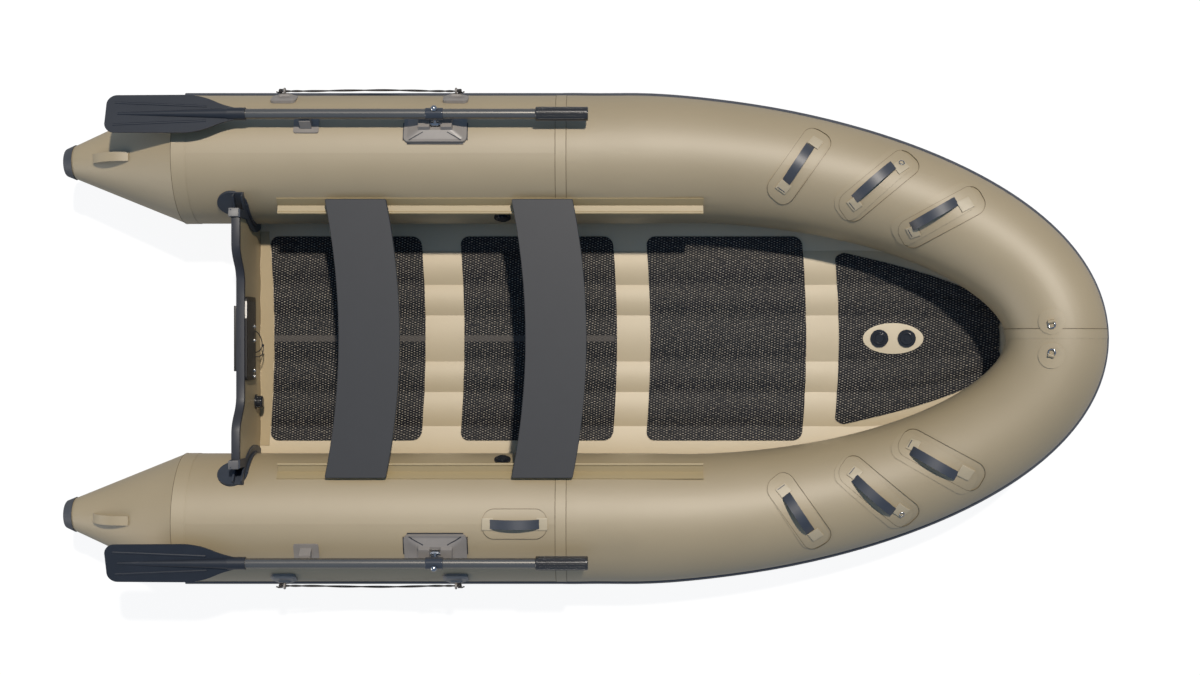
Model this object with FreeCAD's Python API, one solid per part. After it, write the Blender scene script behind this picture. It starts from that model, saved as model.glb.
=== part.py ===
import FreeCAD, Part
import os
from math import sin, cos, tan, pi, sqrt, radians, asin

V = FreeCAD.Vector

# Air-deck inflatable tender. Millimetres, +X to the bow, +Y to port, +Z up.
# The origin is on the ground under the middle of the boat's length.

# Buoyancy tubes
tube_radius = 225.0
tube_centre_y = 631.0
cone_joint_x = -1390.0
cone_tip_x = -1791.0
cone_tip_radius = 53.0
cone_tip_inset = 10.0
bow_seam_x = -65.0
bow_start_x = 210.0
bow_length = 1426.0
bow_rise = 170.0
bow_rise_power = 3.5
stem_radius = 168.0
bow_section_count = 10
seat_gap = 0.3

# End caps of the stern cones
cap_length = 23.0
cap_wall = 3.5
cap_cover = 12.0

# Rubbing strake
strake_height = 46.0
strake_seat_gap = 0.6
strake_proud = 10.0
strake_edge_proud = 4.0
strake_groove_proud = 6.0

# Inflated floor: crowned lengthwise cells over a shallow V bottom
cell_edges = (83.0, 193.0, 316.0, 480.0)
floor_top_z = 108.0
floor_crown = 10.0
keel_z = 16.0
bottom_rise_per_mm = 0.10
bottom_crown = 8.0
floor_rise_start_x = 560.0
floor_front_x = 1605.0
floor_top_rise = 128.0
floor_bottom_rise = 208.0
floor_narrow_start_x = 1000.0
floor_front_share = 0.25
floor_section_count = 9
keel_strip_width = 60.0

# Floor mats
mat_thickness = 3.0
mat_corner = 32.0
mat_half_width = 367.0
mat_edge_bow = 16.0
mat_spans = {
    "floor_mat_aft": (-1117.0, -573.0),
    "floor_mat_middle": (-433.0, 116.0),
    "floor_mat_fore": (236.0, 796.0),
}
bow_mat_aft_x = 913.0
bow_mat_shoulder = (948.0, 308.0)
bow_mat_side = (1205.0, 240.0)
bow_mat_tip = (1478.0, 30.0)

# Valves in the bow mat
valve_patch_x = 1119.0
valve_patch_half_length = 106.0
valve_patch_half_width = 55.0
valve_patch_thickness = 4.0
floor_valve_radius = 32.0
floor_valve_height = 9.0
floor_valve_spacing = 96.0

# Transom board
transom_foot_x = -1152.0
transom_foot_z = 100.0
transom_rake = 0.6
transom_thickness = 24.0
transom_half_width = 424.0
transom_end_z = 455.0
transom_notch_z = 378.0
transom_notch_half = 205.0
transom_shoulder_half = 316.0
transom_bottom_z = 24.0
transom_bottom_side_z = 70.0

# Motor clamp plates
plate_top_margin = 12.0
inner_plate_width = 290.0
inner_plate_height = 140.0
inner_plate_thickness = 8.0
outer_plate_width = 228.0
outer_plate_height = 110.0
outer_plate_thickness = 7.0
plate_corner = 14.0
plate_rib_pitch = 14.0
plate_rib_depth = 2.5

# Transom holders
holder_flange_radius = 52.0
holder_flange_thickness = 6.0
holder_flange_angle = 47.0
holder_flange_aft = 27.0
holder_web = 8.0
holder_lip_reach = 30.0
holder_lip_thickness = 6.0
holder_low_angle = 112.0
holder_cap_size = 28.0

# Drain valve through the transom
drain_y = -225.0
drain_z = 190.0
drain_radius = 27.0
drain_proud = 26.0

# Bench rails and benches
rail_start_x = -1040.0
rail_end_x = 426.0
rail_strip_angle = 49.0
rail_strip_width = 62.0
rail_strip_thickness = 3.0
rail_flap_angle = 49.5
rail_flap_lean = 25.5
rail_flap_width = 28.0
rail_flap_thickness = 4.0
rail_bead_radius = 5.5
shoe_clearance = 0.5
shoe_wall = 3.5
shoe_length = 150.0
bench_end_angle = 43.0
bench_width = 210.0
bench_bow = 48.0
bench_thickness = 18.0
bench_over_bead = 20.8
bench_corner = 6.0
bench_aft_x = -767.0
bench_fore_x = -128.0

# Tube inflation valves
tube_valve_x = -269.0
tube_valve_angle = 67.0
tube_valve_radius = 29.0
tube_valve_height = 12.0

# Rowlocks: a barrel on trunnions carries the pin that the oar turns on
rowlock_x = -490.0
rowlock_angle = 24.0
pivot_lift = 19.0
pin_rest_angle = 45.0
pin_radius = 4.0
pin_length = 42.0
barrel_radius = 9.0
barrel_length = 26.0
trunnion_radius = 4.0
trunnion_length = 14.0
running_gap = 0.05
rowlock_slot = 32.0
rowlock_flange = (214.0, 130.0)
rowlock_body = (204.0, 120.0)
rowlock_body_top = (112.0, 52.0)
rowlock_body_height = 15.0
rowlock_block = (44.0, 46.0)
rowlock_block_top = (38.0, 36.0)
rowlock_block_height = 28.0
rowlock_base_angle = 25.0
pin_head_radius = 12.0

# Oars
shaft_radius = 17.5
shaft_wall = 2.0
collar_radius = 20.5
collar_length = 60.0
grip_start_x = -148.0
grip_end_x = 30.0
grip_radius = 24.0
grip_rib_count = 16
grip_rib_depth = 2.2
blade_tip_x = -1602.0
blade_neck_x = -1128.0
blade_width = 143.0
blade_thickness = 5.0
blade_full_length = 268.0
blade_tip_corner = 34.0
blade_roll = 20.0
blade_rib_radius = 5.0
socket_radius = 21.5
socket_depth = 60.0

# Oar clips
clip_x = -931.0
clip_angle = 24.8
clip_pad = (86.0, 58.0)
clip_arm_length = 38.0
clip_arm_width = 24.0
clip_shaft_gap = 0.4

# Grab lines along the outer sides
rope_radius = 4.0
rope_holder_x = (-1026.0, -430.0)
rope_holder_angle = 68.0
rope_holder_pad = (88.0, 74.0)
rope_holder_pad_inboard = 20.0
rope_holder_boss = 14.0
rope_eye_wire = 4.0
rope_tail = 20.0
rope_eye_run = 22.0

# Carry handles: webbing over a bonded patch
strap_width = 32.0
strap_thickness = 3.5
strap_lift = 27.0
patch_thickness = 2.0
patch_width = 101.0
patch_corner = 40.0
patch_overhang = 67.0
side_patch_overhang = 26.0
bow_handle_ends = (
    ((797.0, 657.0), (708.0, 533.0)),
    ((1093.0, 584.0), (956.0, 472.0)),
    ((1305.0, 452.0), (1158.0, 372.0)),
)
side_handle_x = -220.0
side_handle_length = 166.0
cone_handle_from_tip = (101.0, 239.0)

# Bow towing rings
bow_ring_angle = 0.945
bow_ring_tube_angle = -18.0
ring_patch_radius = 43.0
ring_radius = 11.0
ring_wire = 2.5
ring_lift = 7.5
ring_saddle_width = 13.0
ring_saddle_length = 20.0


def straight_station(x):
    return V(x, tube_centre_y, tube_radius), V(0, 1, 0), V(0, 0, 1), tube_radius


def bow_station(turn):
    """Centre, outward and upward directions and radius where the bow has turned by this ellipse angle."""
    s, c = sin(turn), cos(turn)
    rise = bow_rise * s ** bow_rise_power
    slope = bow_rise * bow_rise_power * s ** (bow_rise_power - 1) * c
    centre = V(bow_start_x + bow_length * s, tube_centre_y * c, tube_radius + rise)
    along = V(bow_length * c, -tube_centre_y * s, slope)
    along.normalize()
    out = V(-along.y, along.x, 0)
    out.normalize()
    return centre, out, along.cross(out), tube_radius + (stem_radius - tube_radius) * s


def bow_stations():
    straight = [bow_seam_x + (bow_start_x - bow_seam_x) * k / 3.0 for k in range(3)]
    turns = [pi / 2 * k / bow_section_count for k in range(bow_section_count + 1)]
    return [straight_station(x) for x in straight] + [bow_station(t) for t in turns]


def section_ring(station, grow=0.0):
    centre, out, up, radius = station
    r = radius + grow
    top, bottom = centre + up * r, centre - up * r
    outer = Part.Arc(bottom, centre + out * r, top).toShape()
    inner = Part.Arc(top, centre - out * r, bottom).toShape()
    return Part.Wire([outer, inner])


def placed(shape, origin, u, v, w):
    """Copy a shape drawn on local axes to the frame with these three directions."""
    m = FreeCAD.Matrix(u.x, v.x, w.x, origin.x, u.y, v.y, w.y, origin.y, u.z, v.z, w.z, origin.z, 0, 0, 0, 1)
    copy = shape.copy()
    copy.Placement = FreeCAD.Placement(m).multiply(shape.Placement)
    return copy


def mirrored(shape):
    return shape.mirror(V(0, 0, 0), V(0, 1, 0))


def export(name, shapes):
    solids = []
    for shape in shapes if isinstance(shapes, list) else [shapes]:
        solids += shape.Solids
    out = solids[0] if len(solids) == 1 else Part.makeCompound(solids)
    if not out.isValid():
        print("not valid:", name)
    print("%-26s %2d solids %10.1f cm3" % (name, len(solids), sum(s.Volume for s in solids) / 1000.0))
    out.exportStep("parts/" + name + ".step")


def both_sides(name, port_shape):
    export(name + "_port", port_shape)
    export(name + "_starboard", mirrored(port_shape))


def rounded_box(length, width, height, corner):
    """Block centred on the origin in plan, from z = 0 up, with rounded upright edges."""
    outline = rounded_rectangle(length, width, corner)
    return Part.makeFace(outline, "Part::FaceMakerSimple").extrude(V(0, 0, height))


def rounded_rectangle(length, width, corner, z=0.0):
    a, b, r = length / 2, width / 2, corner
    h = r * (1 - sqrt(0.5))
    edges = []
    for sx, sy in ((1, 1), (-1, 1), (-1, -1), (1, -1)):
        near_x, near_y = V(sx * (a - r), sy * b, z), V(sx * a, sy * (b - r), z)
        first, last = (near_y, near_x) if sx * sy > 0 else (near_x, near_y)
        edges.append(Part.Arc(first, V(sx * (a - h), sy * (b - h), z), last).toShape())
    for k in range(4):
        start, end = edges[k].Vertexes[-1].Point, edges[(k + 1) % 4].Vertexes[0].Point
        if (end - start).Length > 0.001:
            edges.append(Part.LineSegment(start, end).toShape())
    return Part.Wire(Part.__sortEdges__(edges))


def polygon_prism(points, direction):
    return Part.Face(Part.makePolygon(points + [points[0]])).extrude(direction)


# Tubes, cones, caps and strake

def aft_tube(grow=0.0):
    start = V(cone_joint_x, tube_centre_y, tube_radius)
    return Part.makeCylinder(tube_radius + grow, bow_seam_x - cone_joint_x, start, V(1, 0, 0))


def bow_tube(grow=0.0):
    return Part.makeLoft([section_ring(s, grow) for s in bow_stations()], True, False)


def cone_ring(x, centre_y, radius):
    return Part.Wire(Part.Circle(V(x, centre_y, tube_radius), V(1, 0, 0), radius).toShape())


def cone_radius_at(x):
    share = (cone_joint_x - x) / (cone_joint_x - cone_tip_x)
    return tube_radius + (cone_tip_radius - tube_radius) * share


def cone_centre_at(x):
    return tube_centre_y - cone_tip_inset * (cone_joint_x - x) / (cone_joint_x - cone_tip_x)


def cone_between(x_start, x_end, grow=0.0):
    rings = [cone_ring(x, cone_centre_at(x), cone_radius_at(x) + grow) for x in (x_start, x_end)]
    return Part.makeLoft(rings, True, True)


def end_cap():
    """Moulded cup over the cone's small end."""
    skirt = cone_between(cone_tip_x + cap_cover, cone_tip_x - cap_length, cap_wall)
    edges = [e for e in skirt.Edges if e.BoundBox.XMax < cone_tip_x - cap_length + 1]
    cap = skirt.makeFillet(cap_length * 0.5, edges)
    return cap.cut(cone_between(cone_tip_x + cap_cover + 1, cone_tip_x, seat_gap))


def strake_section(station):
    """Closed outline round the tube's outer side: a flat back on the tube and two round ribs."""
    centre, out, up, radius = station
    half = strake_height / 2

    def at(angle_share, lift):
        angle = asin(half / radius) * angle_share
        return centre + (out * cos(angle) + up * sin(angle)) * (radius + lift)

    back = Part.Arc(at(1, strake_seat_gap), at(0, strake_seat_gap), at(-1, strake_seat_gap)).toShape()
    low = Part.LineSegment(at(-1, strake_seat_gap), at(-1, strake_edge_proud)).toShape()
    rib_low = Part.Arc(at(-1, strake_edge_proud), at(-0.5, strake_proud), at(0, strake_groove_proud)).toShape()
    rib_high = Part.Arc(at(0, strake_groove_proud), at(0.5, strake_proud), at(1, strake_edge_proud)).toShape()
    high = Part.LineSegment(at(1, strake_edge_proud), at(1, strake_seat_gap)).toShape()
    return Part.Wire([back, low, rib_low, rib_high, high])


def rubbing_strake():
    section = Part.Face(strake_section(straight_station(cone_joint_x)))
    straight = section.extrude(V(bow_seam_x - cone_joint_x, 0, 0))
    bow = Part.makeLoft([strake_section(s) for s in bow_stations()], True, False)
    return straight.fuse(bow)


# Floor and mats

def floor_share(x):
    return max(0.0, min(1.0, (x - floor_rise_start_x) / (floor_front_x - floor_rise_start_x)))


def floor_width_share(x):
    share = max(0.0, (x - floor_narrow_start_x) / (floor_front_x - floor_narrow_start_x))
    return 1.0 - (1.0 - floor_front_share) * share ** 2


def floor_top(x):
    return floor_top_z + floor_top_rise * floor_share(x) ** 2.2


def floor_bottom(x, y):
    keel = keel_z + floor_bottom_rise * floor_share(x) ** 2.4
    return min(keel + bottom_rise_per_mm * abs(y), floor_top(x) - 12.0)


def cell_arc(x, y_from, y_to, z_from, z_to, bulge):
    middle = V(x, (y_from + y_to) / 2, (z_from + z_to) / 2 + bulge)
    return Part.Arc(V(x, y_from, z_from), middle, V(x, y_to, z_to)).toShape()


def cell_lines(x):
    share = floor_width_share(x)
    half = [edge * share for edge in cell_edges]
    return [-y for y in reversed(half)] + half


def crown_at(x):
    return floor_crown * (1.0 - 0.6 * floor_share(x))


def ribbed_section(x, low=None, high=0.0):
    """Outline across the boat: crowned cells on top, and below either the V bottom or a parallel skin."""
    ys = cell_lines(x)
    crown = crown_at(x)
    z = floor_top(x) + high
    edges = [cell_arc(x, a, b, z, z, crown) for a, b in zip(ys, ys[1:])]
    if low is None:
        floor_z = [floor_bottom(x, y) for y in ys]
        bulge = -bottom_crown * floor_width_share(x) * (1.0 - floor_share(x))
        under = [(a, b, floor_z[k], floor_z[k + 1], bulge - 0.01) for k, (a, b) in enumerate(zip(ys, ys[1:]))]
    else:
        z_low = floor_top(x) + low
        under = [(a, b, z_low, z_low, crown) for a, b in zip(ys, ys[1:])]
    sides = [V(x, ys[-1], z), V(x, ys[-1], under[-1][3])], [V(x, ys[0], under[0][2]), V(x, ys[0], z)]
    edges.append(Part.LineSegment(*sides[0]).toShape())
    edges += [cell_arc(x, b, a, z_b, z_a, rise) for a, b, z_a, z_b, rise in reversed(under)]
    edges.append(Part.LineSegment(*sides[1]).toShape())
    return Part.Wire(edges)


def rising_stations():
    step = (floor_front_x - floor_rise_start_x) / floor_section_count
    return [floor_rise_start_x + step * k for k in range(floor_section_count + 1)]


def ribbed_body(x_from, x_to, low=None, high=0.0):
    """Level run as one straight extrusion, then a loft where the floor sweeps up to the bow."""
    level_end = min(x_to, floor_rise_start_x)
    pieces = []
    if x_from < level_end:
        pieces.append(Part.Face(ribbed_section(x_from, low, high)).extrude(V(level_end - x_from, 0, 0)))
    if x_to > floor_rise_start_x:
        rising = Part.makeLoft([ribbed_section(x, low, high) for x in rising_stations()], True, False)
        start = max(x_from, floor_rise_start_x)
        window = Part.makeBox(x_to - start, 2 * tube_centre_y, 600, V(start, -tube_centre_y, -100))
        whole_rise = x_to - start > floor_front_x - floor_rise_start_x - 1
        pieces.append(rising if whole_rise else rising.common(window))
    return pieces[0] if len(pieces) == 1 else pieces[0].fuse(pieces[1])


def tubes_grown(grow):
    shapes = [aft_tube(grow), bow_tube(grow)]
    return shapes + [mirrored(s) for s in shapes]


def transom_front_x(z):
    return transom_foot_x - (z - transom_foot_z) * tan(radians(transom_rake))


def air_floor():
    body = ribbed_body(transom_foot_x + 40.0, floor_front_x)
    stern = ribbed_body(transom_foot_x - 40.0, transom_foot_x + 40.0)
    wedge = polygon_prism([V(transom_front_x(z) + seat_gap, -700, z) for z in (-50, 250)]
                          + [V(transom_foot_x - 200, -700, z) for z in (250, -50)], V(0, 1400, 0))
    body = body.fuse(stern.cut(wedge))
    for tube in tubes_grown(seat_gap):
        body = body.cut(tube)
    return max(body.Solids, key=lambda s: s.Volume)


def keel_strip():
    """Rubbing band bonded under the keel cell, level with the tubes' lowest line."""
    half = keel_strip_width / 2
    x_from, x_to = transom_foot_x + 10.0, floor_rise_start_x + 300.0
    blank = Part.makeBox(x_to - x_from, keel_strip_width, 60, V(x_from, -half, 0))
    lower = ribbed_body(x_from - 5, x_to + 5)
    lower.translate(V(0, 0, -seat_gap))
    strip = blank.cut(lower)
    return min(strip.Solids, key=lambda s: s.CenterOfMass.z)


def mat_outline(x_from, x_to):
    """Plan outline of a mat: both ends bow forward, the corners are round."""
    r, h, bow = mat_corner, mat_half_width, mat_edge_bow
    k = r * (1 - sqrt(0.5))
    aft = Part.Arc(V(x_from, h - r, 0), V(x_from + bow, 0, 0), V(x_from, r - h, 0)).toShape()
    fore = Part.Arc(V(x_to, r - h, 0), V(x_to + bow, 0, 0), V(x_to, h - r, 0)).toShape()
    port = Part.LineSegment(V(x_to - r, h, 0), V(x_from + r, h, 0)).toShape()
    starboard = Part.LineSegment(V(x_from + r, -h, 0), V(x_to - r, -h, 0)).toShape()
    corners = []
    for x_edge, sx in ((x_from, 1), (x_to, -1)):
        for sy in (1, -1):
            corners.append(Part.Arc(V(x_edge, sy * (h - r), 0), V(x_edge + sx * k, sy * (h - k), 0),
                                    V(x_edge + sx * r, sy * h, 0)).toShape())
    return Part.Wire(Part.__sortEdges__([aft, fore, port, starboard] + corners))


def mat_blank(x_from, x_to):
    low = seat_gap
    return ribbed_body(x_from - 20, x_to + 40, low, low + mat_thickness)


def floor_mat(x_from, x_to):
    prism = Part.Face(mat_outline(x_from, x_to)).extrude(V(0, 0, 400))
    return mat_blank(x_from, x_to).common(prism)


def bow_mat():
    """Pointed mat inside the bow, cut out round the valve patch."""
    sx, sy = bow_mat_shoulder
    mx, my = bow_mat_side
    tx, ty = bow_mat_tip
    x0 = bow_mat_aft_x
    edges = [Part.Arc(V(x0, sy - 30, 0), V(x0 + 8, sy - 8, 0), V(sx, sy, 0)).toShape(),
             Part.Arc(V(sx, sy, 0), V(mx, my, 0), V(tx, ty, 0)).toShape(),
             Part.Arc(V(tx, ty, 0), V(tx + 8, 0, 0), V(tx, -ty, 0)).toShape(),
             Part.Arc(V(tx, -ty, 0), V(mx, -my, 0), V(sx, -sy, 0)).toShape(),
             Part.Arc(V(sx, -sy, 0), V(x0 + 8, 8 - sy, 0), V(x0, 30 - sy, 0)).toShape(),
             Part.Arc(V(x0, 30 - sy, 0), V(x0 + mat_edge_bow, 0, 0), V(x0, sy - 30, 0)).toShape()]
    prism = Part.Face(Part.Wire(edges)).extrude(V(0, 0, 400))
    mat = mat_blank(x0, tx + 8).common(prism)
    return mat.cut(patch_prism(1.0)).Solids[0]


def patch_prism(grow):
    patch = Part.Ellipse(V(0, 0, 0), valve_patch_half_length + grow, valve_patch_half_width + grow)
    face = Part.Face(Part.Wire(patch.toShape()))
    face.translate(V(valve_patch_x, 0, 0))
    return face.extrude(V(0, 0, 400))


def valve_patch():
    sheet = ribbed_body(valve_patch_x - 140, valve_patch_x + 140, seat_gap, seat_gap + valve_patch_thickness)
    return sheet.common(patch_prism(0.0)).Solids[0]


def floor_slope_at(x):
    step = 5.0
    return (floor_top(x + step) - floor_top(x - step)) / (2 * step)


def floor_valve(x, with_ring):
    """Screw valve seated on the patch: flange, domed cap and a finger ring or a stepped boss."""
    slope = floor_slope_at(x)
    u = V(1, 0, slope)
    u.normalize()
    w = u.cross(V(0, 1, 0))
    z = floor_top(x) + crown_at(x) + seat_gap + valve_patch_thickness
    flange = Part.makeCylinder(floor_valve_radius, floor_valve_height * 0.5)
    flange = flange.makeFillet(1.5, [flange.Edges[0]])
    cap = Part.makeCylinder(floor_valve_radius * 0.72, floor_valve_height, V(0, 0, 0))
    cap = cap.makeFillet(2.5, [cap.Edges[0]])
    body = flange.fuse(cap)
    if with_ring:
        groove = Part.makeTorus(floor_valve_radius * 0.5, 1.8, V(0, 0, floor_valve_height))
        body = body.cut(groove)
    else:
        well = Part.makeCylinder(floor_valve_radius * 0.5, 4, V(0, 0, floor_valve_height - 4))
        button = Part.makeCylinder(floor_valve_radius * 0.28, 3, V(0, 0, floor_valve_height - 4))
        body = body.cut(well).fuse(button)
    body = placed(body, V(x, 0, z), u, V(0, 1, 0), w)
    seat = ribbed_body(x - 60, x + 60, -60, valve_patch_thickness + 2 * seat_gap)
    return max(body.cut(seat).Solids, key=lambda s: s.Volume)


# Transom

def transom_frame(z):
    """Origin on the board's front face at this height; w leaves the front face, v runs up the board."""
    rake = radians(transom_rake)
    return V(transom_front_x(z), 0, z), V(0, 1, 0), V(-sin(rake), 0, cos(rake)), V(cos(rake), 0, sin(rake))


def on_transom(shape, z=transom_foot_z):
    origin, u, v, w = transom_frame(z)
    return placed(shape, origin, u, v, w)


def board_height(z):
    return (z - transom_foot_z) / cos(radians(transom_rake))


def transom_edge():
    """Outline of the board in its own plane, from the V foot to the motor notch with S shoulders."""
    top, notch = board_height(transom_end_z), board_height(transom_notch_z)
    foot, foot_side = board_height(transom_bottom_z), board_height(transom_bottom_side_z)
    half, sh, nt = transom_half_width, transom_shoulder_half, transom_notch_half
    wide = tube_centre_y
    corner = 14.0
    mid_y, mid_h = (sh + nt) / 2, (top + notch) / 2
    quarter = (sh - nt) / 4
    port = [
        Part.LineSegment(V(0, foot, 0), V(wide, foot_side, 0)),
        Part.LineSegment(V(wide, foot_side, 0), V(wide, 240, 0)),
        Part.LineSegment(V(wide, 240, 0), V(half, 240, 0)),
        Part.LineSegment(V(half, 240, 0), V(half, top - corner, 0)),
        Part.Arc(V(half, top - corner, 0), V(half - 4, top - 4, 0), V(half - corner, top, 0)),
        Part.LineSegment(V(half - corner, top, 0), V(sh, top, 0)),
        Part.Arc(V(sh, top, 0), V(sh - quarter, (top + mid_h) / 2 + 7, 0), V(mid_y, mid_h, 0)),
        Part.Arc(V(mid_y, mid_h, 0), V(nt + quarter, (notch + mid_h) / 2 - 7, 0), V(nt, notch, 0)),
        Part.LineSegment(V(nt, notch, 0), V(0, notch, 0)),
    ]
    edges = [curve.toShape() for curve in port]
    edges += [edge.mirror(V(0, 0, 0), V(1, 0, 0)) for edge in edges]
    return Part.Wire(Part.__sortEdges__(edges))


def transom_board():
    board = Part.Face(transom_edge()).extrude(V(0, 0, -transom_thickness))
    board = on_transom(board)
    for side in (1, -1):
        axis = V(cone_joint_x, side * tube_centre_y, tube_radius)
        recess = Part.makeCylinder(tube_radius + holder_web + 2 * seat_gap, 600, axis, V(1, 0, 0))
        board = board.cut(recess)
    board = board.cut(drain_hole(drain_radius * 0.62))
    return max(board.Solids, key=lambda s: s.Volume)


def drain_hole(radius):
    hole = Part.makeCylinder(radius, transom_thickness + 40, V(drain_y, 0, -transom_thickness - 20))
    return on_transom(hole, drain_z)


def clamp_plate(width, height, thickness, outward):
    """Ribbed pad that the motor's clamp screws bear on."""
    plate = rounded_box(width, height, thickness, plate_corner)
    count = int((height - 2 * plate_corner) / plate_rib_pitch)
    for k in range(count):
        y = (k - (count - 1) / 2.0) * plate_rib_pitch
        start = V(plate_corner - width / 2, y - plate_rib_pitch * 0.2, thickness - plate_rib_depth)
        groove = Part.makeBox(width - 2 * plate_corner, plate_rib_pitch * 0.4, plate_rib_depth, start)
        plate = plate.cut(groove)
    origin, u, v, w = transom_frame(transom_notch_z)
    centre = origin - v * (plate_top_margin + height / 2)
    if outward:
        return placed(plate, centre - w * transom_thickness, u * -1, v, w * -1)
    return placed(plate, centre, u, v, w)


def holder_sector(r_in, r_out, x_from, x_to, angle_from, angle_to):
    """Band round the tube's inner side; angles run from the tube's crown towards the floor."""
    def at(r, angle):
        return V(x_from, tube_centre_y - r * sin(radians(angle)), tube_radius + r * cos(radians(angle)))
    middle = (angle_from + angle_to) / 2
    outer = Part.Arc(at(r_out, angle_from), at(r_out, middle), at(r_out, angle_to)).toShape()
    inner = Part.Arc(at(r_in, angle_to), at(r_in, middle), at(r_in, angle_from)).toShape()
    ends = [Part.LineSegment(at(r_out, angle_to), at(r_in, angle_to)).toShape(),
            Part.LineSegment(at(r_in, angle_from), at(r_out, angle_from)).toShape()]
    return Part.Face(Part.Wire(Part.__sortEdges__([outer, inner] + ends))).extrude(V(x_to - x_from, 0, 0))


def transom_holder():
    """Moulded holder: round flange on the tube's shoulder, and a channel that grips the board's edge."""
    r0 = tube_radius + seat_gap
    angle = radians(holder_flange_angle)
    w = V(0, -sin(angle), cos(angle))
    v = V(0, cos(angle), sin(angle))
    flange_x = transom_front_x(tube_radius * 1.7) - transom_thickness / 2 - holder_flange_aft
    foot = V(flange_x, tube_centre_y + w.y * tube_radius, tube_radius + w.z * tube_radius)
    disc = Part.makeCylinder(holder_flange_radius, holder_flange_thickness + 12, V(0, 0, -12))
    flange = placed(disc, foot, V(1, 0, 0), v, w)
    low_z = tube_radius + (tube_radius + holder_web) * cos(radians(holder_low_angle))
    span_from = transom_front_x(transom_end_z) - transom_thickness - holder_lip_thickness - 6
    span_to = transom_front_x(low_z) + holder_lip_thickness + 6
    band = holder_sector(r0, tube_radius + holder_web, span_from, span_to,
                         holder_flange_angle, holder_low_angle)
    lips = holder_sector(r0, tube_radius + holder_lip_reach, span_from, span_to,
                         holder_flange_angle - 12, holder_low_angle)
    channel = lips.common(board_slab(-holder_lip_thickness, transom_thickness + holder_lip_thickness))
    cap = Part.makeBox(holder_cap_size, transom_thickness + 2 * holder_lip_thickness, 120)
    origin, u, up, out = transom_frame(transom_end_z - 110)
    start = origin + u * (transom_half_width - holder_cap_size + 16) + out * holder_lip_thickness
    cap = placed(cap, start, u, out * -1, up)
    band_edge = holder_lip_thickness + 8
    band = band.common(board_slab(-band_edge, transom_thickness + band_edge))
    body = flange.fuse([band, channel, cap])
    body = body.cut(board_slab(-seat_gap, transom_thickness + seat_gap).common(slot_region()))
    body = body.cut(aft_tube(seat_gap))
    return max(body.Solids, key=lambda s: s.Volume)


def board_slab(front, back):
    """Slab parallel to the board, from this far in front of its front face to this far behind it."""
    slab = Part.makeBox(1600, 900, back - front, V(-800, -400, -back))
    return on_transom(slab)


def slot_region():
    """Space of the board itself, where the holder's channel is open."""
    half = tube_centre_y - 120
    space = Part.makeBox(600, 2 * half, transom_end_z + 20, V(transom_foot_x - 300, -half, 0))
    start = V(transom_foot_x - 350, tube_centre_y, tube_radius)
    return space.cut(Part.makeCylinder(tube_radius + holder_web, 700, start, V(1, 0, 0)))


def drain_valve():
    """Self-draining valve: flange and domed cap inside, threaded stub through the board."""
    flange = Part.makeCylinder(drain_radius, 6, V(0, 0, seat_gap))
    cap = Part.makeCylinder(drain_radius * 0.8, drain_proud - 6, V(0, 0, 6))
    cap = cap.makeFillet(6, [cap.Edges[0]])
    notch_ring = drain_radius * 0.82
    grip = [Part.makeCylinder(3.2, drain_proud, V(notch_ring * cos(a), notch_ring * sin(a), 7))
            for a in [2 * pi * k / 8 for k in range(8)]]
    stub_start = V(0, 0, -transom_thickness - 5)
    stub = Part.makeCylinder(drain_radius * 0.62 - seat_gap, transom_thickness + 6, stub_start)
    nut = Part.makeCylinder(drain_radius * 0.9, 5, V(0, 0, -transom_thickness - 5 - seat_gap))
    body = flange.fuse([cap.cut(Part.makeCompound(grip)), stub, nut])
    body.translate(V(drain_y, 0, 0))
    return on_transom(body, drain_z)


# Bench rails and benches

def inner_frame(angle, lean=0.0):
    """Point this far round from the tube's crown towards the floor; w leans that much past its normal."""
    a, tilt = radians(angle), radians(angle + lean)
    foot = V(0, tube_centre_y - tube_radius * sin(a), tube_radius + tube_radius * cos(a))
    return foot, V(0, cos(tilt), sin(tilt)), V(0, -sin(tilt), cos(tilt))


def bead_centre():
    foot, v, w = inner_frame(rail_flap_angle, rail_flap_lean)
    return foot + w * rail_flap_width


def bench_rail():
    """Bonded strip with a leaning flap, and on the flap's edge the bead that the benches slide along."""
    length = rail_end_x - rail_start_x
    foot, v, w = inner_frame(rail_strip_angle)
    start = V(rail_start_x, -rail_strip_width / 2, -20)
    blank = Part.makeBox(length, rail_strip_width, 20 + rail_strip_thickness, start)
    strip = placed(blank, foot, V(1, 0, 0), v, w).common(aft_like_cylinder(rail_strip_thickness + seat_gap))
    foot, v, w = inner_frame(rail_flap_angle, rail_flap_lean)
    start = V(rail_start_x, -rail_flap_thickness / 2, 0)
    flap = Part.makeBox(length, rail_flap_thickness, rail_flap_width, start)
    bead = Part.makeCylinder(rail_bead_radius, length, bead_centre() + V(rail_start_x, 0, 0), V(1, 0, 0))
    rail = strip.fuse([placed(flap, foot, V(1, 0, 0), v, w), bead])
    rail = rail.cut(aft_like_cylinder(seat_gap)).cut(bow_tube(seat_gap))
    return max(rail.Solids, key=lambda s: s.Volume)


def aft_like_cylinder(grow):
    start = V(rail_start_x - 50, tube_centre_y, tube_radius)
    return Part.makeCylinder(tube_radius + grow, rail_end_x - rail_start_x + 100, start, V(1, 0, 0))


def bench_low_z():
    return bead_centre().z + bench_over_bead


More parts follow.
